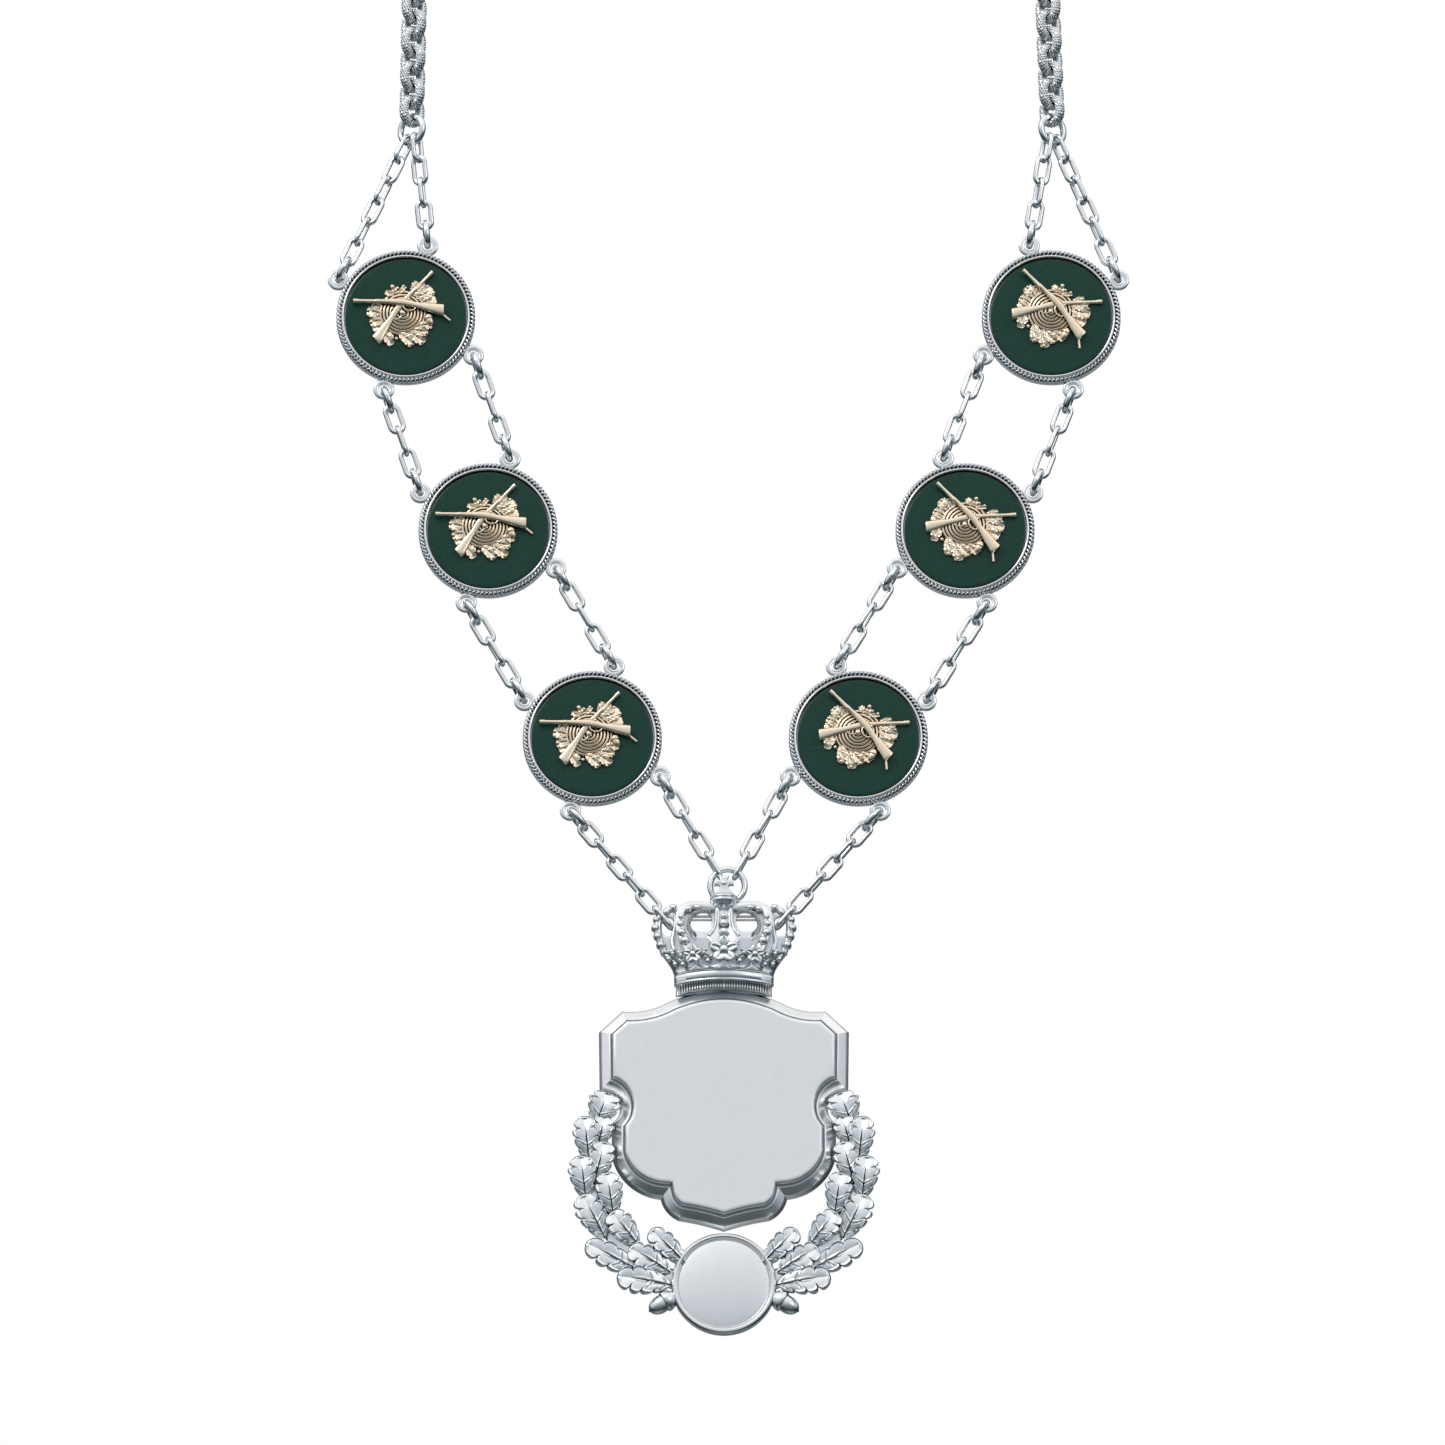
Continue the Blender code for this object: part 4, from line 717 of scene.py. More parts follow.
def ball(centre, radius, steps=12, flattening=1.0):
    half = steps // 2
    arc = [polar(radius, 180 * k / half) for k in range(half + 1)]
    shape = turned([(point.y, point.x * flattening) for point in arc], steps)
    return moved(shape, Matrix.Translation(centre))


def ring_shape(diameter, wire, steps=RING_STEPS, sides=RING_WIRE_SIDES):
    return swept(circle_path((diameter - wire) / 2, steps), round_section(wire / 2, sides))


def bar(points, count, radius, sides, flattening=1.0):
    """A round bar along a smooth route through the chosen points, with flat ends."""
    return swept(smooth_route(points, count), round_section(radius, sides, flattening),
                 closed=False)


class Stretch:
    """A straight or round stretch of an outline that runs with its inside on the right.

    Beyond its ends a round stretch goes on straight.
    """

    def __init__(self, start, end, bulge):
        self.start = start
        chord = end - start
        self.inward = Vector((chord.y, -chord.x)).normalized()
        self.round = abs(bulge) > MERGE
        self.length = chord.length
        if self.round:
            half = chord.length / 2
            self.radius = (half * half + bulge * bulge) / (2 * bulge)
            self.centre = (start + end) / 2 + self.inward * (self.radius - bulge)
            self.sweep = 2 * math.asin(clamp(half / self.radius, -1.0))
            self.length = self.radius * self.sweep

    def side(self, share):
        """The direction inward at a share of the stretch."""
        if not self.round:
            return self.inward
        arm = (self.centre - self.start) / self.radius
        angle = -self.sweep * share
        return Vector((arm.x * math.cos(angle) - arm.y * math.sin(angle),
                       arm.x * math.sin(angle) + arm.y * math.cos(angle)))

    def at(self, share, inset):
        """The point at a share of the stretch, moved inward."""
        inner = clamp(share)
        inward = self.side(inner)
        onward = Vector((-inward.y, inward.x))
        point = self.centre - inward * self.radius if self.round else (
            self.start + onward * inner * self.length)
        return point + inward * inset + onward * (share - inner) * self.length

    def share(self, point):
        """The share of the stretch beside which a point lies."""
        share = 0.0
        if self.round:
            arm = self.start - self.centre
            reach = point - self.centre
            share = -math.atan2(arm.x * reach.y - arm.y * reach.x, arm.dot(reach)) / self.sweep
            if 0 <= share <= 1:
                return share
            share = clamp(share)
        inward = self.side(share)
        along = (point - self.at(share, 0.0)).dot(Vector((-inward.y, inward.x)))
        return share + along / self.length

    def depth(self, point):
        """How far inward of the stretch a point lies."""
        inner = clamp(self.share(point))
        return (point - self.at(inner, 0.0)).dot(self.side(inner))


def zero_near(value, share):
    """The share near the given one at which a value is zero."""
    tries = 40
    reach = 0.0005
    longest = 0.05
    shortest = 0.0000001
    for _ in range(tries):
        slope = (value(share + reach) - value(share - reach)) / (2 * reach)
        change = clamp(value(share) / slope, -longest, longest)
        share -= change
        if abs(change) < shortest:
            break
    return share


def inset_outline(stretches, inset, steps):
    """A symmetric outline moved inward, mitred, from the stretches of its right half."""
    first, last = stretches[0], stretches[-1]
    starts = [zero_near(lambda share: first.at(share, inset).x, 0.0)]
    ends = []
    for before, after in zip(stretches, stretches[1:]):
        end = zero_near(lambda share: after.depth(before.at(share, inset)) - inset, 1.0)
        ends.append(end)
        starts.append(after.share(before.at(end, inset)))
    ends.append(zero_near(lambda share: last.at(share, inset).x, 1.0))
    half = []
    for stretch, start, end in zip(stretches, starts, ends):
        count = steps if stretch.round else 2
        half.extend(stretch.at(start + (end - start) * k / count, inset) for k in range(count))
    half.append(last.at(ends[-1], inset))
    half[0].x = 0.0
    half[-1].x = 0.0
    return mirrored(half)


def plate_shape(loops, back, front, rounding):
    """A flat outline, with its holes, between two depths, its edges rounded."""
    curve = bpy.data.curves.new("plate", "CURVE")
    curve.dimensions = "2D"
    curve.fill_mode = "BOTH"
    curve.extrude = (front - back) / 2 - rounding
    curve.bevel_depth = rounding
    curve.bevel_resolution = 2
    curve.offset = -rounding
    for points in loops:
        spline = curve.splines.new("POLY")
        spline.points.add(len(points) - 1)
        for target, point in zip(spline.points, points):
            target.co = (point.x, point.y, 0.0, 1.0)
        spline.use_cyclic_u = True
    obj = new_object("plate", curve)
    bpy.context.view_layer.update()
    mesh = bpy.data.meshes.new_from_object(obj.evaluated_get(bpy.context.evaluated_depsgraph_get()))
    middle = UP * (front + back) / 2
    points = [vertex.co + middle for vertex in mesh.vertices]
    faces = [tuple(polygon.vertices) for polygon in mesh.polygons]
    bpy.data.objects.remove(obj)
    bpy.data.curves.remove(curve)
    bpy.data.meshes.remove(mesh)
    return points, faces


def new_object(name, data):
    obj = bpy.data.objects.new(name, data)
    bpy.context.scene.collection.objects.link(obj)
    return obj


def make_mesh(name, shape, sharp):
    """A mesh that is smooth except at edges sharper than the given angle in degrees."""
    points, faces = shape
    mesh = bpy.data.meshes.new(name)
    mesh.from_pydata(points, [], faces)
    form = bmesh.new()
    form.from_mesh(mesh)
    bmesh.ops.remove_doubles(form, verts=form.verts, dist=MERGE)
    bmesh.ops.recalc_face_normals(form, faces=form.faces)
    form.to_mesh(mesh)
    form.free()
    mesh.shade_smooth()
    mesh.set_sharp_from_angle(angle=math.radians(sharp))
    return mesh


def add_piece(name, shape, matrix, material, slot, *nodes, sharp=50.0):
    """A mesh object that stands for CAD nodes and takes their place in the frame."""
    mesh = shape if isinstance(shape, bpy.types.Mesh) else make_mesh(name, shape, sharp)
    obj = new_object(name, mesh)
    obj.matrix_world = matrix
    if not mesh.materials:
        mesh.materials.append(material)
    bpy.context.view_layer.update()
    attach(obj, "root")
    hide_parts(*nodes)


def rope_shape():
    """The twisted edge: slanted rounded strokes round a half-round ring."""
    middle = (ROPE_INNER + MEDALLION_RADIUS) / 2
    half = (MEDALLION_RADIUS - ROPE_INNER) / 2
    steps = ROPE_STROKES * ROPE_SAMPLES
    arc = [polar(1.0, degrees) for degrees in ROPE_ARC]
    rows = []
    for i in range(steps):
        row = []
        for arm in arc:
            slant = arm.x * ROPE_SLANT / 2 / middle
            phase = ROPE_STROKES * (i / steps + slant / (2 * math.pi))
            beside = abs(2 * (phase % 1.0) - 1)
            bead = clamp((ROPE_FILL - beside) / ROPE_FILL * ROPE_EDGE) ** 0.5
            cut = ROPE_RELIEF * (1 - bead) if arm.y > 0 else 0.0
            height = MEDALLION_HALF_DEPTH - half + arm.y * half * ROPE_FULLNESS - cut
            row.append(polar(middle + arm.x * (half - ROPE_RELIEF_ASIDE * cut), 360 * i / steps,
                             height))
        rows.append(row)
    return surface(rows, wrap_rows=True)


def eye_shape():
    """A round washer with rounded edges."""
    half = EYE_THICKNESS / 2
    reach = (EYE_RADIUS - EYE_HOLE_RADIUS) / 2
    section = []
    for arm in circle_path(1.0, EYE_SECTION_SIDES):
        wall = EYE_BEVEL if abs(arm.x) >= EYE_BEVEL_START else 1.0
        section.append((reach * clamp(EYE_WALL * arm.x, -1.0) * wall,
                        half * signed_power(arm.y, EYE_ROUNDNESS)))
    return swept(circle_path((EYE_RADIUS + EYE_HOLE_RADIUS) / 2, EYE_STEPS), section)


def rim_shape():
    """Rim, back plate and eyes in one, in the medallion's own coordinates."""
    front = MEDALLION_HALF_DEPTH
    section = [(MEDALLION_RADIUS + out * MM, front + up * MM) for out, up in RIM_SECTION]
    dish = front - DISH_DEPTH
    profile = [(0.0, dish), (section[0][0], dish)] + section + [(0.0, -front)]
    shapes = [turned(profile, ROUND_STEPS), rope_shape()]
    for name in EYE_NAMES:
        spot = eye_spot(name)
        shapes.append(moved(eye_shape(), Matrix.Translation(spot)))
        neck = [spot.normalized() * (MEDALLION_RADIUS + reach) for reach in EYE_NECK_REACH]
        shapes.append(bar(neck, 1, EYE_NECK, 12, FLAT))
    return joined(shapes)


def enamel_shape():
    profile = [(share * ENAMEL_RADIUS, ENAMEL_FRONT - fall * MM) for share, fall in ENAMEL_DOME]
    return turned(profile + [(ENAMEL_RADIUS, ENAMEL_BACK), (0.0, ENAMEL_BACK)], ROUND_STEPS)


def rifle_shape():
    """A rifle along +x from the muzzle, its middle plane at z = 0."""
    rows = []
    for row in RIFLE_SECTIONS:
        roundness = 1.0 if row.along < RIFLE_BARREL_END else RIFLE_STOCK_ROUNDNESS
        rows.append([mm(row.along * RIFLE_LENGTH,
                        row.offset + row.half_height * signed_power(arm.x, roundness),
                        row.half_depth * signed_power(arm.y, roundness))
                     for arm in circle_path(1.0, RIFLE_SIDES)])
    guard = [mm(x, y, RIFLE_GUARD_FORWARD) for x, y in RIFLE_GUARD]
    shapes = [surface(rows, caps=True), bar(guard, 3, RIFLE_GUARD_RADIUS, 8)]
    shapes += [ball(mm(*spot), radius * MM, steps) for spot, radius, steps in RIFLE_KNOBS]
    return joined(shapes)


def target_shape():
    """Round target of narrow ridges with a boss."""
    profile = list(TARGET_BOSS)
    pitch = (TARGET_RADIUS - TARGET_RIDGES_START) / TARGET_RIDGES
    for k in range(TARGET_RIDGES):
        profile += [(TARGET_RIDGES_START + (k + share) * pitch, height - TARGET_FALL * k)
                    for share, height in TARGET_RIDGE]
    profile += [(TARGET_RADIUS, TARGET_EDGE), (TARGET_RADIUS, 0.0), (0.0, 0.0)]
    return moved(turned(profile, TARGET_STEPS, MM),
                 Matrix.Translation(mm(*TARGET_CENTRE) + UP * MOTIF_BASE))


def leaf_half_width(along):
    """Half the width of an oak leaf at a share of its length from the stalk, at most about 0.5."""
    for notch, after in zip(LEAF_NOTCHES, LEAF_NOTCHES[1:]):
        if along <= after.along:
            share = (along - notch.along) / (after.along - notch.along)
            lobe = max(0.0, 1 - abs(2 * share - 1) ** LEAF_LOBE) ** 0.5
            width = notch.width + (after.width - notch.width) * share + after.swell * lobe
            return max(LEAF_TIP_HALF, width / 2)
    return LEAF_TIP_HALF


def groove(offset, width):
    """Depth of a cut line with a raised lip on its far side."""
    return ridge(offset, 1.0, 0.0, width) - ridge(offset, VEIN_LIP, 2 * width, width)


def leaf_relief(along, spread, vein):
    """Height of a leaf's front in shares of its depth, at shares of its length and half width."""
    notch = min(abs(along - row.along) for row in LEAF_NOTCHES[1:-1])
    bow = LEAF_BOW * (1 - (2 * along - LEAF_BOW_MIDDLE) ** 2)
    low, span = LEAF_SWELL_ARC
    swell = math.sin(math.pi * min(1.0, low + span * spread)) ** LEAF_SWELL_POWER
    edge = min(1.0, along * LEAF_EDGE_GROWTH) * ridge(spread, *LEAF_EDGE)
    tip = (1 - spread) * ridge(along, *LEAF_TIP)
    pit = ridge(notch, *LEAF_PIT) * max(0.0, (spread - LEAF_PIT_START) / (1 - LEAF_PIT_START))
    fade = clamp((MIDDLE_VEIN_END - along) * MIDDLE_VEIN_FADE)
    cut = MIDDLE_VEIN_CUT * groove(spread, MIDDLE_VEIN) * fade
    reach = SIDE_VEIN_CUT * max(0.0, 1 - (spread / LEAF_VEIN_END) ** 6)
    cut += reach * sum(groove(along - start, vein) for start in LEAF_VEINS)
    droop = LEAF_DROOP * max(0.0, (spread - LEAF_DROOP_START) / (1 - LEAF_DROOP_START)) ** 2
    return LEAF_GROUND + bow + LEAF_SWELL * swell + max(edge, tip) - cut - droop - pit


def leaf_shape(length, width, depth, steps=LEAF_STEPS, columns=LEAF_COLUMNS, vein=LEAF_VEIN):
    """An oak leaf along +x: lobes that curl forward at their edges, cut veins, bowed lengthwise."""
    shares = [-share for share in reversed(columns[1:])] + list(columns)
    alongs = {round(i / steps, 4) for i in range(steps + 1)} | {row.along for row in LEAF_NOTCHES}
    alongs |= {start + step for start in LEAF_VEINS for step in LEAF_VEIN_STEPS}
    rows = []
    for along in sorted(alongs):
        half = leaf_half_width(along) * width
        row = []
        for share in shares:
            rake = LEAF_RAKE * abs(share) * half * (1 - along) ** 0.6
            row.append(Vector((along * length + rake, share * half,
                               depth * leaf_relief(along, abs(share), vein))))
        rows.append(row + [Vector((end.x, end.y, LEAF_BACK * depth)) for end in (row[-1], row[0])])
    return surface(rows, caps=True)


def sprig_shape(row):
    """A sprig on the medallion, without what the target hides of it."""
    along = polar(1.0, row.angle)
    stalk = Vector((row.x, row.y, 0.0)) - Vector((*TARGET_CENTRE, 0.0))
    beside = stalk.dot(along)
    hidden = math.sqrt(max(0.0, beside ** 2 + SPRIG_REACH ** 2 - stalk.length_squared)) - beside
    hidden = clamp(hidden, 0.0, SPRIG_HIDDEN * row.length)
    leaf = leaf_shape((row.length - hidden) * MM, row.width * MM, row.height * SPRIG_DEPTH * MM,
                      SPRIG_STEPS, SPRIG_COLUMNS, SPRIG_VEIN)
    start = mm(row.x, row.y) + along * hidden * MM + UP * (MOTIF_BASE + SPRIG_FORWARD)
    return moved(leaf, Matrix.Translation(start) @ turn(row.angle, "Z"))


def motif_shape():
    """Target, crossed rifles and sprigs, one casting in the medallion's own coordinates."""
    shapes = [target_shape()] + [sprig_shape(row) for row in MOTIF_SPRIGS]
    for x, y, radius in MOTIF_BALLS:
        shapes.append(ball(mm(x, y) + UP * (MOTIF_BASE + MOTIF_BALL_FORWARD), radius * MM))
    x, y, angle = MOTIF_ACORN
    spot = mm(x, y) + UP * (MOTIF_BASE + MOTIF_ACORN_FORWARD)
    shapes.append(moved(acorn_shape(), Matrix.Translation(spot) @ turn(angle, "Z")
                        @ Matrix.Scale(MOTIF_ACORN_SCALE, 4)))
    rifle = rifle_shape()
    for row in RIFLES:
        muzzle = Matrix.Translation(mm(row.x, row.y, row.height - RIFLE_SINK) + UP * MOTIF_BASE)
        flip = Matrix.Scale(row.flip, 4, Vector((1, 0, 0)))
        shapes.append(moved(rifle, muzzle @ flip @ turn(-row.slope, "Z")))
    strap = [mm(x, y, RIFLE_STRAP_FORWARD) + UP * MOTIF_BASE for x, y in RIFLE_STRAP]
    return joined(shapes + [bar(strap, 4, RIFLE_STRAP_RADIUS, 10)])


def add_medallions():
    rim = make_mesh("medallion_rim", rim_shape(), 60)
    enamel = make_mesh("enamel_disc", enamel_shape(), 40)
    motif = make_mesh("motif", motif_shape(), 55)
    for side, side_name in SIDES:
        for row in MEDALLIONS:
            name = f"{side_name}_{row.name}"
            for piece, mesh, material, slot, node in (
                    ("rope_rim", rim, MEDALLION_SILVER, "medallion_silver", "medallion_rim"),
                    ("green_enamel", enamel, ENAMEL, "green_enamel", "enamel"),
                    ("rifles_and_target", motif, GILT, "gilt_motif", "motif")):
                add_piece(f"{piece}_{name}", mesh, medallion_matrix(row, side), material, slot,
                          f"{node}_{name}")


def square_to(direction, vector):
    """The direction nearest to a vector that is square to the given one."""
    return (vector - direction * vector.dot(direction)).normalized()


def laid(centre, direction, facing, roll):
    """Matrix of a link: x along the chain, z facing as given and then rolled about the chain."""
    normal = facing * math.cos(roll) + direction.cross(facing) * math.sin(roll)
    basis = Matrix((direction, normal.cross(direction), normal)).transposed()
    return Matrix.Translation(centre) @ basis.to_4x4()


def strand_shape(name, start, links, end, end_kind, tangent=None):
    """A taut strand from an eye, laid out as in the CAD source, with round wires."""
    chance = random.Random(name)
    direction = (end - start).normalized()
    facing = square_to(direction, FRONT)
    sideways = direction.cross(facing)
    jump_length = JUMP_RING_DIAMETER - JUMP_RING_WIRE
    kinds = ["jump"] + ["link"] * links + (["jump"] if end_kind == "eye" else [])
    radii = [JUMP_RING_WIRE / 2 if kind == "jump" else LINK_WIRE / 2 for kind in kinds]
    span = (end - start).length
    if end_kind == "ring":
        ring_wire = CROWN_RING_WIRE if "crown" in name else CONNECTING_RING_WIRE
        span += ring_wire / 2 + LINK_WIRE / 2 + GAP
    contacts = sum(a + b - FUSE for a, b in zip(radii, radii[1:]))
    link_length = (span + contacts - kinds.count("jump") * jump_length) / links
    jump = ring_shape(JUMP_RING_DIAMETER, JUMP_RING_WIRE, LINK_STEPS, WIRE_SIDES)
    link = swept(oval_path(link_length, LINK_WIDTH - LINK_WIRE, LINK_STEPS),
                 round_section(LINK_WIRE / 2, WIRE_SIDES))
    twist = 0.0
    if tangent:
        wanted = math.atan2(tangent.dot(sideways), tangent.dot(facing))
        twist = (wanted - math.pi / 2 * len(kinds) + math.pi / 2) % math.pi - math.pi / 2
    shapes = []
    position = 0.0
    for k, kind in enumerate(kinds):
        length = jump_length if kind == "jump" else link_length
        roll = math.pi / 2 * (k + 1) + twist * k / (len(kinds) - 1)
        if 0 < k < len(kinds) - 1:
            roll += chance.uniform(-ROLL_SCATTER, ROLL_SCATTER)
        centre = start + direction * (position + length / 2)
        shapes.append(moved(jump if kind == "jump" else link,
                            laid(centre, direction, facing, roll)))
        if k + 1 < len(kinds):
            position += length - (radii[k] + radii[k + 1] - FUSE)
    return joined(shapes)


def add_strand(name, *route):
    add_piece(f"links_{name}", strand_shape(f"strand_{name}", *route), Matrix.Identity(4),
              STRAND_SILVER, "strand_silver", f"strand_{name}")


def add_strands():
    for side, side_name in SIDES:
        inner, outer = ("right", "left") if side < 0 else ("left", "right")
        upper, middle, lower = (medallion_matrix(row, side) for row in MEDALLIONS)
        for flank, flank_name, links, degrees in (
                (outer, "outer", LONG_STRAND_LINKS, CONNECTING_HOOK_ANGLE),
                (inner, "inner", SHORT_STRAND_LINKS, -CONNECTING_HOOK_ANGLE)):
            hook, tangent = connecting_ring_point(side, degrees)
            add_strand(f"{side_name}_top_{flank_name}", upper @ eye_spot(f"upper_{flank}"), links,
                       hook, "ring", tangent)
        for level, above, below in (("upper", upper, middle), ("lower", middle, lower)):
            for flank, flank_name in ((outer, "outer"), (inner, "inner")):
                add_strand(f"{side_name}_{level}_{flank_name}", above @ eye_spot(f"lower_{flank}"),
                           MIDDLE_STRAND_LINKS, below @ eye_spot(f"upper_{flank}"), "eye")
        hole = pendant_matrix() @ crown_point(side * CROWN_HOOK[0], CROWN_HOOK[1])
        add_strand(f"{side_name}_crown_outer", lower @ eye_spot(f"lower_{outer}"),
                   LONG_STRAND_LINKS, hole, "hole")
        hook, tangent = crown_ring_point(side)
        add_strand(f"{side_name}_crown_inner", lower @ eye_spot(f"lower_{inner}"),
                   SHORT_STRAND_LINKS, hook, "ring", tangent)


def add_ring(name, diameter, wire, matrix, node):
    add_piece(name, ring_shape(diameter, wire), matrix, STRAND_SILVER, "ring_silver", node)


def add_rings():
    for side, side_name in SIDES:
        matrix = Matrix.Translation(connecting_ring_centre(side)) @ turn(
            side * CONNECTING_RING_TURN, "Z") @ FACING
        add_ring(f"round_ring_{side_name}", CONNECTING_RING_DIAMETER, CONNECTING_RING_WIRE, matrix,
                 f"connecting_ring_{side_name}")
    add_ring("round_ring_crown", CROWN_RING_DIAMETER, CROWN_RING_WIRE,
             Matrix.Translation(crown_ring_centre()) @ FACING, "crown_ring")
    add_ring("closing_ring", CLASP_DIAMETER, CLASP_WIRE, FACING, "clasp_ring")


def neck_link_shape():
    """A heavy link: flattened wire, knurled outside and smooth inside."""
    length = NECK_LINK_PITCH + 2 * NECK_WIRE_THICKNESS
    path = oval_path(length - NECK_WIRE_THICKNESS, NECK_LINK_WIDTH - NECK_WIRE_THICKNESS,
                     4 * NECK_LINK_STEPS)
    path = even_loop(path, NECK_LINK_STEPS)
    angles = [KNURL_REACH * (2 * j / (KNURL_COLUMNS - 1) - 1) for j in range(KNURL_COLUMNS)]
    rest = 2 * math.pi - 2 * KNURL_REACH
    angles += [KNURL_REACH + rest * (j + 1) / (SMOOTH_COLUMNS + 1) for j in range(SMOOTH_COLUMNS)]
    rows = []
    count = len(path)
    for i, point in enumerate(path):
        tangent = (path[(i + 1) % count] - path[i - 1]).normalized()
        outward = Vector((tangent.y, -tangent.x, 0.0))
        row = []
        for j, angle in enumerate(angles):
            out = signed_power(math.cos(angle), NECK_WIRE_ROUNDNESS) * NECK_WIRE_THICKNESS / 2
            wide = signed_power(math.sin(angle), NECK_WIRE_ROUNDNESS) * NECK_WIRE_WIDTH / 2
            offset = outward * out + UP * wide
            if 0 < j < KNURL_COLUMNS - 1:
                peak = i % 2 == 0 and (j + i // 2) % 2 == 0
                offset += offset.normalized() * KNURL_RELIEF * (KNURL_PEAK if peak else KNURL_VALLEY)
            row.append(point + offset)
        rows.append(row)
    return surface(rows, wrap_rows=True)


def neck_route(side):
    """Points along one half of the neck chain, between the wires that its end links hold."""
    start_rise = (CONNECTING_RING_DIAMETER - CONNECTING_RING_WIRE) / 2 - (
        CONNECTING_RING_WIRE + NECK_WIRE_THICKNESS) / 2
    end_reach = (CLASP_DIAMETER - CLASP_WIRE) / 2 - (CLASP_WIRE + NECK_WIRE_THICKNESS) / 2
    points = []
    for row in NECK_ROUTE:
        share = (row.up - NECK_ROUTE[0].up) / (1 - NECK_ROUTE[0].up)
        up = start_rise + share * (LOOP_RISE - start_rise)
        out = row.out * (CONNECTING_RING_SPREAD - end_reach) + end_reach
        aside = CONNECTING_RING_ASIDE * (1 - row.up / NECK_ROUTE[-1].up)
        points.append(Vector((side * out + aside, -LOOP_DEPTH * (1 - row.back), up - LOOP_RISE)))
    points[0].x = side * CONNECTING_RING_SPREAD + CONNECTING_RING_ASIDE
    return smooth_route(points, NECK_ROUTE_STEPS)


def neck_chain_shape(side):
    """Links along the route from the connecting ring to the closing ring, turned to and fro."""
    route = neck_route(side)
    distances = [0.0]
    for a, b in zip(route, route[1:]):
        distances.append(distances[-1] + (b - a).length)
    total = distances[-1]
    count = round((total - NECK_WIRE_THICKNESS) / NECK_LINK_PITCH)
    pitch = (total - NECK_WIRE_THICKNESS) / count
    longer = 1 + (pitch - NECK_LINK_PITCH) / NECK_LINK_PITCH * NECK_LINK_STRETCH
    link = moved(neck_link_shape(), Matrix.Scale(longer, 4, Vector((1, 0, 0))))

    def at(distance):
        distance = clamp(distance, 0.0, total)
        k = 0
        while k + 2 < len(distances) and distances[k + 1] < distance:
            k += 1
        share = (distance - distances[k]) / (distances[k + 1] - distances[k])
        return route[k].lerp(route[k + 1], share)

    shapes = []
    facing = FRONT
    for k in range(count):
        low = at(k * pitch)
        high = at(k * pitch + pitch + NECK_WIRE_THICKNESS)
        direction = (high - low).normalized()
        facing = square_to(direction, facing)
        roll = NECK_LINK_ROLL * side * (1 if k % 2 else -1)
        shapes.append(moved(link, laid((low + high) / 2, direction, facing, roll)))
    return joined(shapes)


def add_neck_chain():
    """Both halves of the chain; the faces of the knurl are flat, the inner faces smooth."""
    columns = KNURL_COLUMNS + SMOOTH_COLUMNS
    for side, side_name in SIDES:
        name = f"knurled_links_{side_name}"
        mesh = make_mesh(name, neck_chain_shape(side), 180)
        for polygon in mesh.polygons:
            polygon.use_smooth = polygon.index % columns >= KNURL_COLUMNS - 1
        add_piece(name, mesh, Matrix.Identity(4), NECK_SILVER, "neck_chain_silver",
                  f"neck_chain_{side_name}")


def add_pendant_piece(name, shape, material, sharp):
    add_piece(name, shape, pendant_matrix(), material, "pendant_silver", "pendant", sharp=sharp)


def add_shield():
    places = [Vector((row.out * SHIELD_HALF_WIDTH, -SHIELD_DROP - row.down * SHIELD_HEIGHT))
              for row in SHIELD_OUTLINE]
    stretches = [Stretch(start, end, row.bulge * SHIELD_HALF_WIDTH)
                 for row, start, end in zip(SHIELD_OUTLINE, places, places[1:])]
    rows = []
    for inset, level in SHIELD_SECTION:
        ring = inset_outline(stretches, inset * MM, SHIELD_ARC_STEPS)
        rows.append([Vector((p.x, p.y, level * MM)) for p in ring])
    add_pendant_piece("shield", surface(rows, caps=True), SATIN_SILVER, sharp=17)


def add_medal():
    shape = turned(MEDAL_SECTION, ROUND_STEPS, MM)
    shape = moved(shape, Matrix.Translation(Vector((0.0, -MEDAL_DROP, 0.0))))
    add_pendant_piece("round_plate", shape, SATIN_SILVER, sharp=35)


def acorn_shape():
    """An acorn along +x: pitted cup behind, smooth nut in front."""
    first, end = ACORN_CUP_PITTED
    nut = turned(ACORN_NUT, ACORN_STEPS, MM)
    cup = turned(ACORN_CUP, ACORN_STEPS, MM, lambda i, j: (
        ACORN_CUP_RELIEF if (i // 2 + j) % 2 and first <= j < end else 0.0))
    return moved(joined([nut, cup]), turn(90, "Y"))


def add_wreath():
    medal = Vector((0.0, -MEDAL_DROP, 0.0))
    right = []
    for row in LEAVES:
        stalk = wreath_point(row.stalk_angle, row.stalk_reach)
        along = wreath_point(row.tip_angle, row.tip_reach) - stalk
        beside_medal = (stalk - medal).length < MEDAL_RADIUS + MEDAL_MARGIN
        overlap = 0.0 if beside_medal else LEAF_OVERLAP
        stalk -= overlap * along
        leaf = leaf_shape(along.length * (LEAF_REACH + 2 * overlap),
                          row.width * WREATH_HALF_WIDTH * LEAF_FULLNESS, LEAF_DEPTH)
        heading = math.degrees(math.atan2(along.y, along.x))
        right.append(moved(leaf, Matrix.Translation(stalk) @ turn(heading, "Z")
                           @ turn(-LEAF_LIFT, "Y")))
    stem = [wreath_point(angle, 1.0, WREATH_STEM_FORWARD) for angle in WREATH_STEM_ANGLES]
    right.append(bar(stem, 6, WREATH_STEM_RADIUS, 12, FLAT))
    spot = medal + polar(MEDAL_RADIUS + ACORN_LENGTH / 3, ACORN_ANGLE)
    acorn = moved(acorn_shape(), Matrix.Translation(spot) @ turn(ACORN_LEAN, "Z"))
    for name, matrix in (("right", Matrix.Identity(4)), ("left", MIRROR)):
        add_pendant_piece(f"oak_leaves_{name}", moved(joined(right), matrix), CAST_SILVER, sharp=70)
        add_pendant_piece(f"acorn_{name}", moved(acorn, matrix), CAST_SILVER, sharp=60)


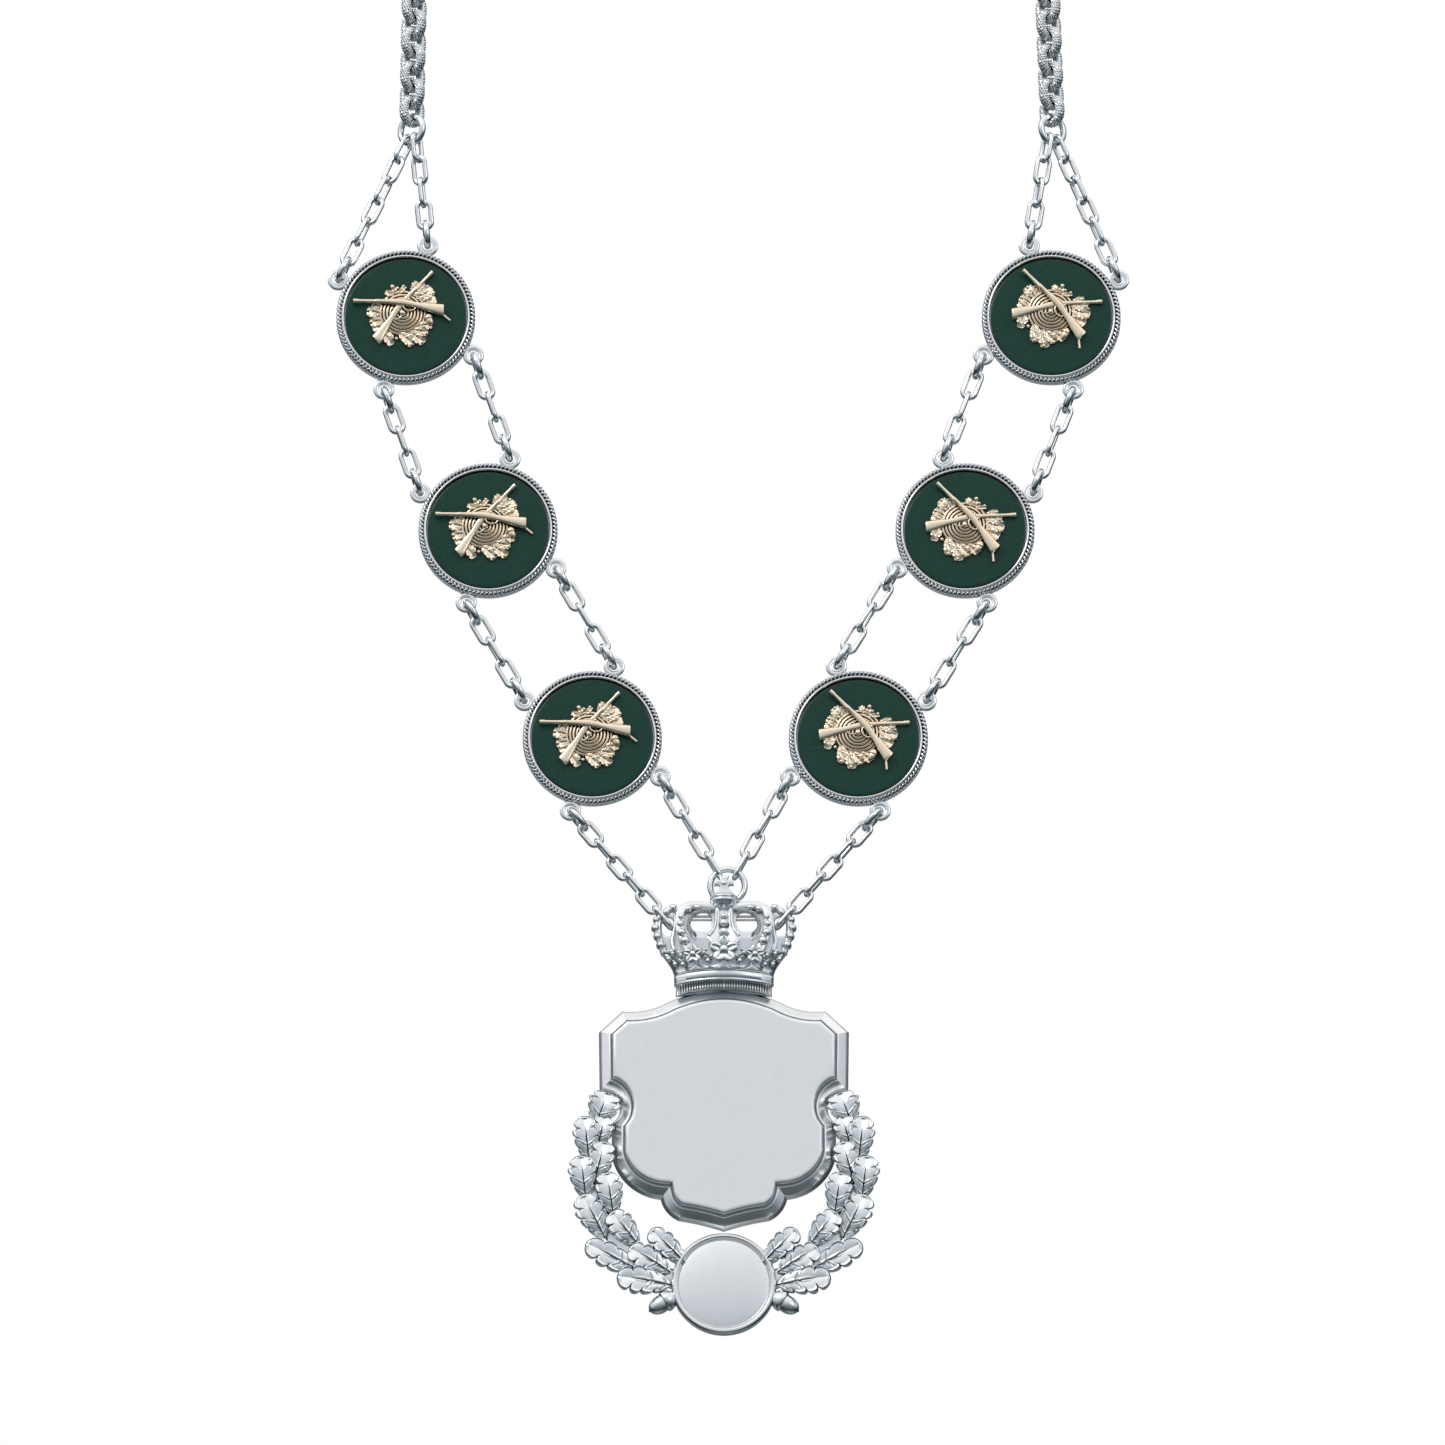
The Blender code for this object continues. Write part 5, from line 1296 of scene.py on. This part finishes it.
def crown_plate_shape():
    """The crown's flat openwork, from which the arches stand forward."""
    edge = smooth_route([local(*pair) for pair in CROWN_EDGE], 5)
    edge += smooth_route([local(*pair) for pair in (CROWN_EDGE[-1],) + CROWN_SIDE], 4)[1:]
    loops = [mirrored(edge + [local(0.0, CROWN_FOOT_DROP)])]
    for hole in CROWN_HOLES:
        loop = smooth_route([local(*pair) for pair in hole], 4, closed=True)
        loops += [loop, [Vector((-point.x, point.y, 0.0)) for point in loop]]
    return plate_shape(loops, -CROWN_PLATE / 2, CROWN_PLATE / 2, CROWN_PLATE_ROUNDING)


def circlet_forward(x, radius, drop):
    """How far the circlet stands forward at a place: an arc that turns back sharply at its sides."""
    share = min(1.0, abs(x) / radius)
    lowered = clamp((drop - CIRCLET_WAIST_DROP) / (CIRCLET_FOOT_DROP - CIRCLET_WAIST_DROP))
    depth = CIRCLET_DEPTH + (CIRCLET_FOOT_DEPTH - CIRCLET_DEPTH) * lowered
    return depth * radius * (1 - CIRCLET_BOW * share ** 2) * math.sqrt(
        1 - share ** CIRCLET_SIDE_POWER)


def circlet_radius(drop):
    """The circlet's outer radius at a drop, both in millimetres."""
    outer = CIRCLET_SECTION[slice(*CIRCLET_OUTER)]
    for (upper, first), (lower, second) in zip(outer, outer[1:]):
        if upper <= drop <= lower:
            return first + (second - first) * (drop - upper) / (lower - upper)
    return outer[0][1] if drop < outer[0][0] else outer[-1][1]


def on_circlet(x, drop, proud=0.0):
    """Matrix of a place on the circlet's front: z points away from it."""
    radius = circlet_radius(drop)
    step = 0.2
    beside = circlet_forward(abs(x) + step, radius, drop)
    forward = circlet_forward(x, radius, drop)
    angle = math.copysign(math.degrees(math.atan((forward - beside) / step)), x)
    return (Matrix.Translation(local(x, drop, forward)) @ turn(angle, "Y")
            @ Matrix.Translation(UP * proud * MM))


def scallop_rise(x, drop):
    """How far the scalloped leaf border stands proud at a place."""
    nearest = min(abs(x - cusp) for cusp in SCALLOP_CUSPS) / SCALLOP_HALF_WIDTH
    arc = math.sqrt(max(0.0, 1 - (1 - min(1.0, nearest)) ** 2))
    return SCALLOP_RISE * clamp((drop - SCALLOP_TOP - SCALLOP_DIP * arc) / SCALLOP_LEDGE + 0.5)


def comb_rise(k, drop):
    """How far the toothed foot stands proud, teeth and all."""
    tooth = TOOTH_DROPS[0] < drop < TOOTH_DROPS[1] and abs(k) % TOOTH_STEPS < TOOTH_STEPS // 2
    return (COMB_FLARE_SLOPE * max(0.0, drop - COMB_FLARE) - COMB_LEAN * (drop - COMB_TOP)
            + (TOOTH_DEPTH if tooth else 0.0))


def circlet_shape():
    """The flared band: leafy and scalloped above, smooth between two ridges, toothed below."""
    half = CIRCLET_TEETH * TOOTH_STEPS
    shares = [k / (half + 3) for k in range(half + 1)] + list(CIRCLET_SIDE_SHARES)
    rows = []
    for k in range(1 - len(shares), len(shares)):
        share = math.copysign(shares[abs(k)], k)
        row = []
        for n, (drop, radius) in enumerate(CIRCLET_SECTION):
            reach = radius
            proud = 0.0
            x = radius * share
            if drop < RIM_FOOT and abs(x) < RIM_DIPS * RIM_PERIOD:
                dip = RIM_DIP * math.sin(math.pi * x / RIM_PERIOD) ** 2
                lowered = dip * (RIM_FOOT - drop) / (RIM_FOOT - RIM_TOP)
                drop += lowered
                reach -= RIM_DRAW * lowered
            if RIM_FOOT < drop < SCALLOP_FOOT and n < CIRCLET_OUTER[1]:
                proud = scallop_rise(x, drop)
            if drop > COMB_TOP and n < CIRCLET_BEHIND[0]:
                proud = comb_rise(k, drop)
            lower = CIRCLET_ARCH if drop > CIRCLET_ARCH_DROP else 0.0
            lower += COMB_ARCH * max(0.0, drop - COMB_TOP) / 2
            forward = CIRCLET_BEHIND_FORWARD if n in CIRCLET_BEHIND else (
                circlet_forward(reach * share, reach, drop)
                + proud * (1 - share ** PROUD_SIDE_POWER))
            if BAND_DROPS[0] < drop < BAND_DROPS[1]:
                reach = min(reach, BAND_RADIUS)
            row.append(local(reach * share, drop + lower * share ** 2, forward))
        rows.append(row)
    return surface(rows, caps=True)


def petal_shape(length, width, height):
    """A broad petal along +x with a groove down its middle."""
    start, reach, lean, fullness = PETAL_OUTLINE
    ground, peak, low, span = PETAL_SWELL
    rows = []
    for i in range(PETAL_STEPS + 1):
        along = i / PETAL_STEPS
        half = PETAL_END
        if 0 < i < PETAL_STEPS:
            half = 0.5 * math.sin(math.pi * (start + reach * along ** lean)) ** fullness
        swell = height * (ground + peak * math.sin(math.pi * (low + span * along)))
        row = []
        for j in range(PETAL_COLUMNS + 1):
            share = 2 * j / PETAL_COLUMNS - 1
            rise = math.sqrt(max(0.0, 1 - share ** 2)) - ridge(share, *PETAL_GROOVE)
            notch = ridge(share, *PETAL_NOTCH) * along
            row.append(Vector(((along - notch) * length, share * half * width, rise * swell)))
        rows.append(row + [Vector((p.x, p.y, PETAL_BACK * height)) for p in reversed(row)])
    return surface(rows, caps=True)


def flower_shape(petals, length, width):
    petal = petal_shape(length * MM, width * MM, FLOWER_HEIGHT * MM)
    shapes = [moved(petal, turn(FLOWER_TURN + 360 * k / petals, "Z") @ turn(FLOWER_TILT, "Y"))
              for k in range(petals)]
    forward, radius = FLOWER_MIDDLE
    return joined(shapes + [ball(UP * forward * MM, radius * length * MM, 16)])


def trefoil_shape(radius):
    """A ball with two small petals above it."""
    shapes = [ball(Vector(TREFOIL_BALL) * radius, radius, 14)]
    petal = petal_shape(*(share * radius for share in TREFOIL_PETAL))
    start = Matrix.Translation(Vector(TREFOIL_PETAL_START) * radius)
    for angle in TREFOIL_ANGLES:
        shapes.append(moved(petal, start @ turn(angle, "Z") @ turn(TREFOIL_TILT, "Y")))
    return joined(shapes)


def pearl_shape(row, steps, flattening=1.0):
    return ball(local(row.x, row.drop, row.forward), row.radius * MM, steps, flattening)


def crown_half_shape():
    """What the crown's right half carries: bars, pearls, trefoils and the back band's rails."""
    shapes = []
    for row in CROWN_BARS:
        shapes.append(bar([local(*point) for point in row.route], 5, row.half_width * MM, 12,
                          row.half_depth / row.half_width))
    deeper, wider, flatness = PEARL_SEAT
    for row in CROWN_PEARLS:
        seat = row._replace(forward=row.forward - deeper * row.radius, radius=row.radius * wider)
        shapes += [pearl_shape(row, 16), pearl_shape(seat, 14, flatness)]
    for x, drop, radius in TREFOILS:
        shapes.append(moved(trefoil_shape(radius * MM), on_circlet(x, drop)))
    for drop in CROWN_RAIL_DROPS:
        rail = [local(x, drop, CROWN_RAIL_FORWARD) for x in CROWN_RAIL]
        shapes.append(bar(rail, 1, CROWN_RAIL_RADIUS, 10))
    return joined(shapes)


def column_shape():
    """The middle arch: it flares to bevelled feet."""
    return surface([[local(half * share, drop, forward - back) for share, back in COLUMN_SECTION]
                    for drop, half, forward in COLUMN_ROWS], caps=True)


def orb_shape():
    """The bowl under the cross, turned about the upright axis and pressed a little flat."""
    flat = Matrix.Scale(ORB_DEPTH_SHARE, 4, UP)
    return moved(turned(ORB_SECTION, ORB_STEPS, MM),
                 Matrix.Translation(UP * ORB_FORWARD * MM) @ flat @ turn(-90, "X"))


def cross_shape():
    outline = mirrored([local(*pair) for pair in CROSS_EDGE])
    return joined([plate_shape([outline], *CROSS_PLATE),
                   pearl_shape(CROSS_PEARL, 14, CROSS_PEARL_FLATNESS)])


def add_crown():
    right = crown_half_shape()
    shapes = [crown_plate_shape(), circlet_shape(), right, moved(right, MIRROR), column_shape(),
              orb_shape(), cross_shape()]
    shapes += [pearl_shape(row, 18) for row in CENTRE_PEARLS]
    for row in FLOWERS:
        flower = flower_shape(row.petals, row.length, row.width)
        shapes.append(moved(flower, on_circlet(row.x, row.drop, FLOWER_PROUD)))
    add_pendant_piece("crown", joined(shapes), CAST_SILVER, sharp=50)


def add_pendant():
    add_shield()
    add_crown()
    add_medal()
    add_wreath()


class Nodes:
    """The node tree of a material or a world, with short ways to add nodes."""

    def __init__(self, owner):
        owner.use_nodes = True
        self.owner = owner
        self.tree = owner.node_tree

    def fill(self, node, inputs):
        """Give each named or numbered input a number, a colour or another node's output."""
        for name, value in inputs.items():
            socket = node.inputs[name]
            if isinstance(value, bpy.types.NodeSocket):
                self.tree.links.new(value, socket)
            else:
                socket.default_value = (*value, 1.0) if socket.type == "RGBA" else value

    def add(self, kind, inputs, **values):
        node = self.tree.nodes.new("ShaderNode" + kind)
        for key, value in values.items():
            setattr(node, key, value)
        self.fill(node, inputs)
        return node

    def coordinates(self, kind):
        return self.add("TexCoord", {}).outputs[kind]

    def noise(self, scale, detail=3.0):
        return self.add("TexNoise", {"Vector": self.coordinates("Object"), "Scale": scale,
                                     "Detail": detail}).outputs["Fac"]

    def spread(self, value, low=0.0, high=1.0, start=0.35, end=0.65):
        return self.add("MapRange", {"Value": value, "From Min": start, "From Max": end,
                                     "To Min": low, "To Max": high}).outputs["Result"]

    def mix(self, factor, first, second):
        return self.add("Mix", {0: factor, 6: first, 7: second}, data_type="RGBA").outputs[2]

    def bump(self, height, strength, distance):
        return self.add("Bump", {"Height": height, "Strength": strength,
                                 "Distance": distance}).outputs["Normal"]

    def painted(self, inputs):
        """The material, with these inputs of its shader."""
        self.fill(self.tree.nodes["Principled BSDF"], inputs)
        return self.owner


def metal(name, colours, roughness, grain, grain_height, shade_reach=0.0):
    """Metal with uneven colour and gloss, a fine grain, and, when given a reach, shade painted into
    its hollows.
    """
    nodes = Nodes(bpy.data.materials.new(name))
    colour = nodes.mix(nodes.spread(nodes.noise(COLOUR_GRAIN)), *colours)
    if shade_reach:
        # Painted shade: the colour darkens towards near black wherever ambient occlusion finds the
        # surface hemmed in
        occlusion = nodes.add("AmbientOcclusion", {"Distance": shade_reach}, samples=HOLLOW_SAMPLES)
        openness = nodes.spread(occlusion.outputs["AO"], 0.0, 1.0, *HOLLOW_OPENNESS)
        colour = nodes.mix(openness, tuple(HOLLOW_SHADE * value for value in colours[1]), colour)
    bump = nodes.bump(nodes.noise(grain, 4.0), GRAIN_STRENGTH, grain_height)
    return nodes.painted({"Metallic": 1.0, "Base Color": colour, "Normal": bump,
                          "Roughness": nodes.spread(nodes.noise(GLOSS_GRAIN), *roughness)})


def enamel_material():
    """Dark green enamel: fine grain in the colour, glossy, with a brown line at the edge."""
    nodes = Nodes(bpy.data.materials.new("green enamel"))
    green = nodes.mix(nodes.spread(nodes.noise(2600.0, 2.0)), *ENAMEL_GREENS)
    reach = nodes.add("VectorMath", {0: nodes.coordinates("Object")}, operation="LENGTH")
    edge = nodes.spread(reach.outputs["Value"], 0.0, 1.0,
                        *(share * ENAMEL_RADIUS for share in ENAMEL_EDGE))
    return nodes.painted({"Base Color": nodes.mix(edge, green, ENAMEL_EDGE_COLOUR),
                          "Roughness": nodes.spread(nodes.noise(1400.0), 0.22, 0.36),
                          "Specular IOR Level": 0.20, "Coat Weight": 0.12, "Coat Roughness": 0.10,
                          "Normal": nodes.bump(nodes.noise(3200.0, 2.0), 0.12, 0.05 * MM)})


def floor_material():
    nodes = Nodes(bpy.data.materials.new("pale floor"))
    shade = nodes.mix(nodes.spread(nodes.noise(1.2)), *FLOOR_SHADES)
    return nodes.painted({"Base Color": shade, "Roughness": 0.9})


MEDALLION_SILVER = metal("medallion silver", SILVER, (0.12, 0.22), 2400.0, 0.02 * MM, 0.6 * MM)
STRAND_SILVER = metal("strand silver", SILVER, (0.08, 0.16), 1800.0, 0.01 * MM)
NECK_SILVER = metal("neck chain silver", ((0.84, 0.86, 0.875), (0.76, 0.785, 0.80)), (0.18, 0.30),
                    3000.0, 0.03 * MM, 0.8 * MM)
SATIN_SILVER = metal("satin silver", ((0.945, 0.955, 0.965), (0.920, 0.932, 0.945)), (0.30, 0.34),
                     5200.0, 0.02 * MM, 0.5 * MM)
CAST_SILVER = metal("cast silver", SILVER, (0.24, 0.36), 2600.0, 0.04 * MM, 1.0 * MM)
GILT = metal("gilt casting", ((1.0, 0.87, 0.68), (0.97, 0.80, 0.60)), (0.17, 0.28), 2200.0,
             0.04 * MM, 1.2 * MM)
ENAMEL = enamel_material()


def add_camera():
    camera = bpy.data.cameras.new("camera")
    camera.sensor_width = SENSOR_WIDTH
    camera.lens = SENSOR_WIDTH * VIEW_DISTANCE / VIEW_WIDTH
    camera.clip_start, camera.clip_end = VIEW_CLIP
    obj = new_object("camera", camera)
    outward = Vector((0.0, -math.cos(VIEW_ELEVATION), math.sin(VIEW_ELEVATION)))
    obj.location = VIEW_TARGET + outward * VIEW_DISTANCE
    obj.rotation_euler = (-outward).to_track_quat("-Z", "Y").to_euler()
    bpy.context.scene.camera = obj


def add_floor():
    steps = [FLOOR_SIZE * (i / FLOOR_STEPS - 0.5) for i in range(FLOOR_STEPS + 1)]
    points, faces = surface([[Vector((x, y, FLOOR_HEIGHT)) for x in steps] for y in steps],
                            wrap_columns=False)
    mesh = bpy.data.meshes.new("floor")
    mesh.from_pydata(points, [], faces)
    mesh.materials.append(floor_material())
    floor = new_object("floor", mesh)
    floor.visible_glossy = False


def add_light(row):
    light = bpy.data.lights.new(row.name, "AREA")
    light.shape = "DISK"
    light.size = row.size
    light.energy = row.power
    obj = new_object(row.name, light)
    obj.location = row.location
    obj.rotation_euler = (Vector(row.location) - VIEW_TARGET).to_track_quat("Z", "Y").to_euler()
    obj.visible_camera = False


def world_ramp(nodes, direction, rows):
    """Colours by how far a direction points the given way, from 0 against it to 1 along it."""
    along = nodes.add("VectorMath", {0: nodes.coordinates("Generated"),
                                     1: Vector(direction).normalized()}, operation="DOT_PRODUCT")
    half = nodes.add("Math", {0: along.outputs["Value"], 1: 0.5, 2: 0.5}, operation="MULTIPLY_ADD")
    ramp = nodes.add("ValToRGB", {"Fac": half.outputs["Value"]})
    elements = ramp.color_ramp.elements
    for element, (position, colour) in zip(elements, (rows[0], rows[-1])):
        element.position = position
        element.color = (*colour, 1.0)
    for position, colour in rows[1:-1]:
        elements.new(position).color = (*colour, 1.0)
    return ramp.outputs["Color"]


def add_world():
    """White behind the object; in reflections, bright above and in front, dark below and behind."""
    world = bpy.data.worlds.new("studio")
    bpy.context.scene.world = world
    nodes = Nodes(world)
    nodes.tree.nodes.clear()
    shades = [(position, (value, value, value)) for position, value in WORLD_SHADE]
    product = nodes.add("VectorMath", {0: world_ramp(nodes, WORLD_LEAN, WORLD_RAMP),
                                       1: world_ramp(nodes, WORLD_SHADE_SIDE, shades)},
                        operation="MULTIPLY")
    studio = nodes.add("Background", {"Color": product.outputs["Vector"]})
    white = nodes.add("Background", {"Color": WHITE})
    seen = nodes.add("LightPath", {}).outputs["Is Camera Ray"]
    mix = nodes.add("MixShader", {"Fac": seen, 1: studio.outputs["Background"],
                                  2: white.outputs["Background"]})
    nodes.add("OutputWorld", {"Surface": mix.outputs["Shader"]})


def add_stage():
    bpy.context.scene.view_settings.view_transform = "Standard"
    add_camera()
    add_world()
    add_floor()
    for row in LIGHTS:
        add_light(row)


add_stage()
add_medallions()
add_rings()
add_strands()
add_neck_chain()
add_pendant()
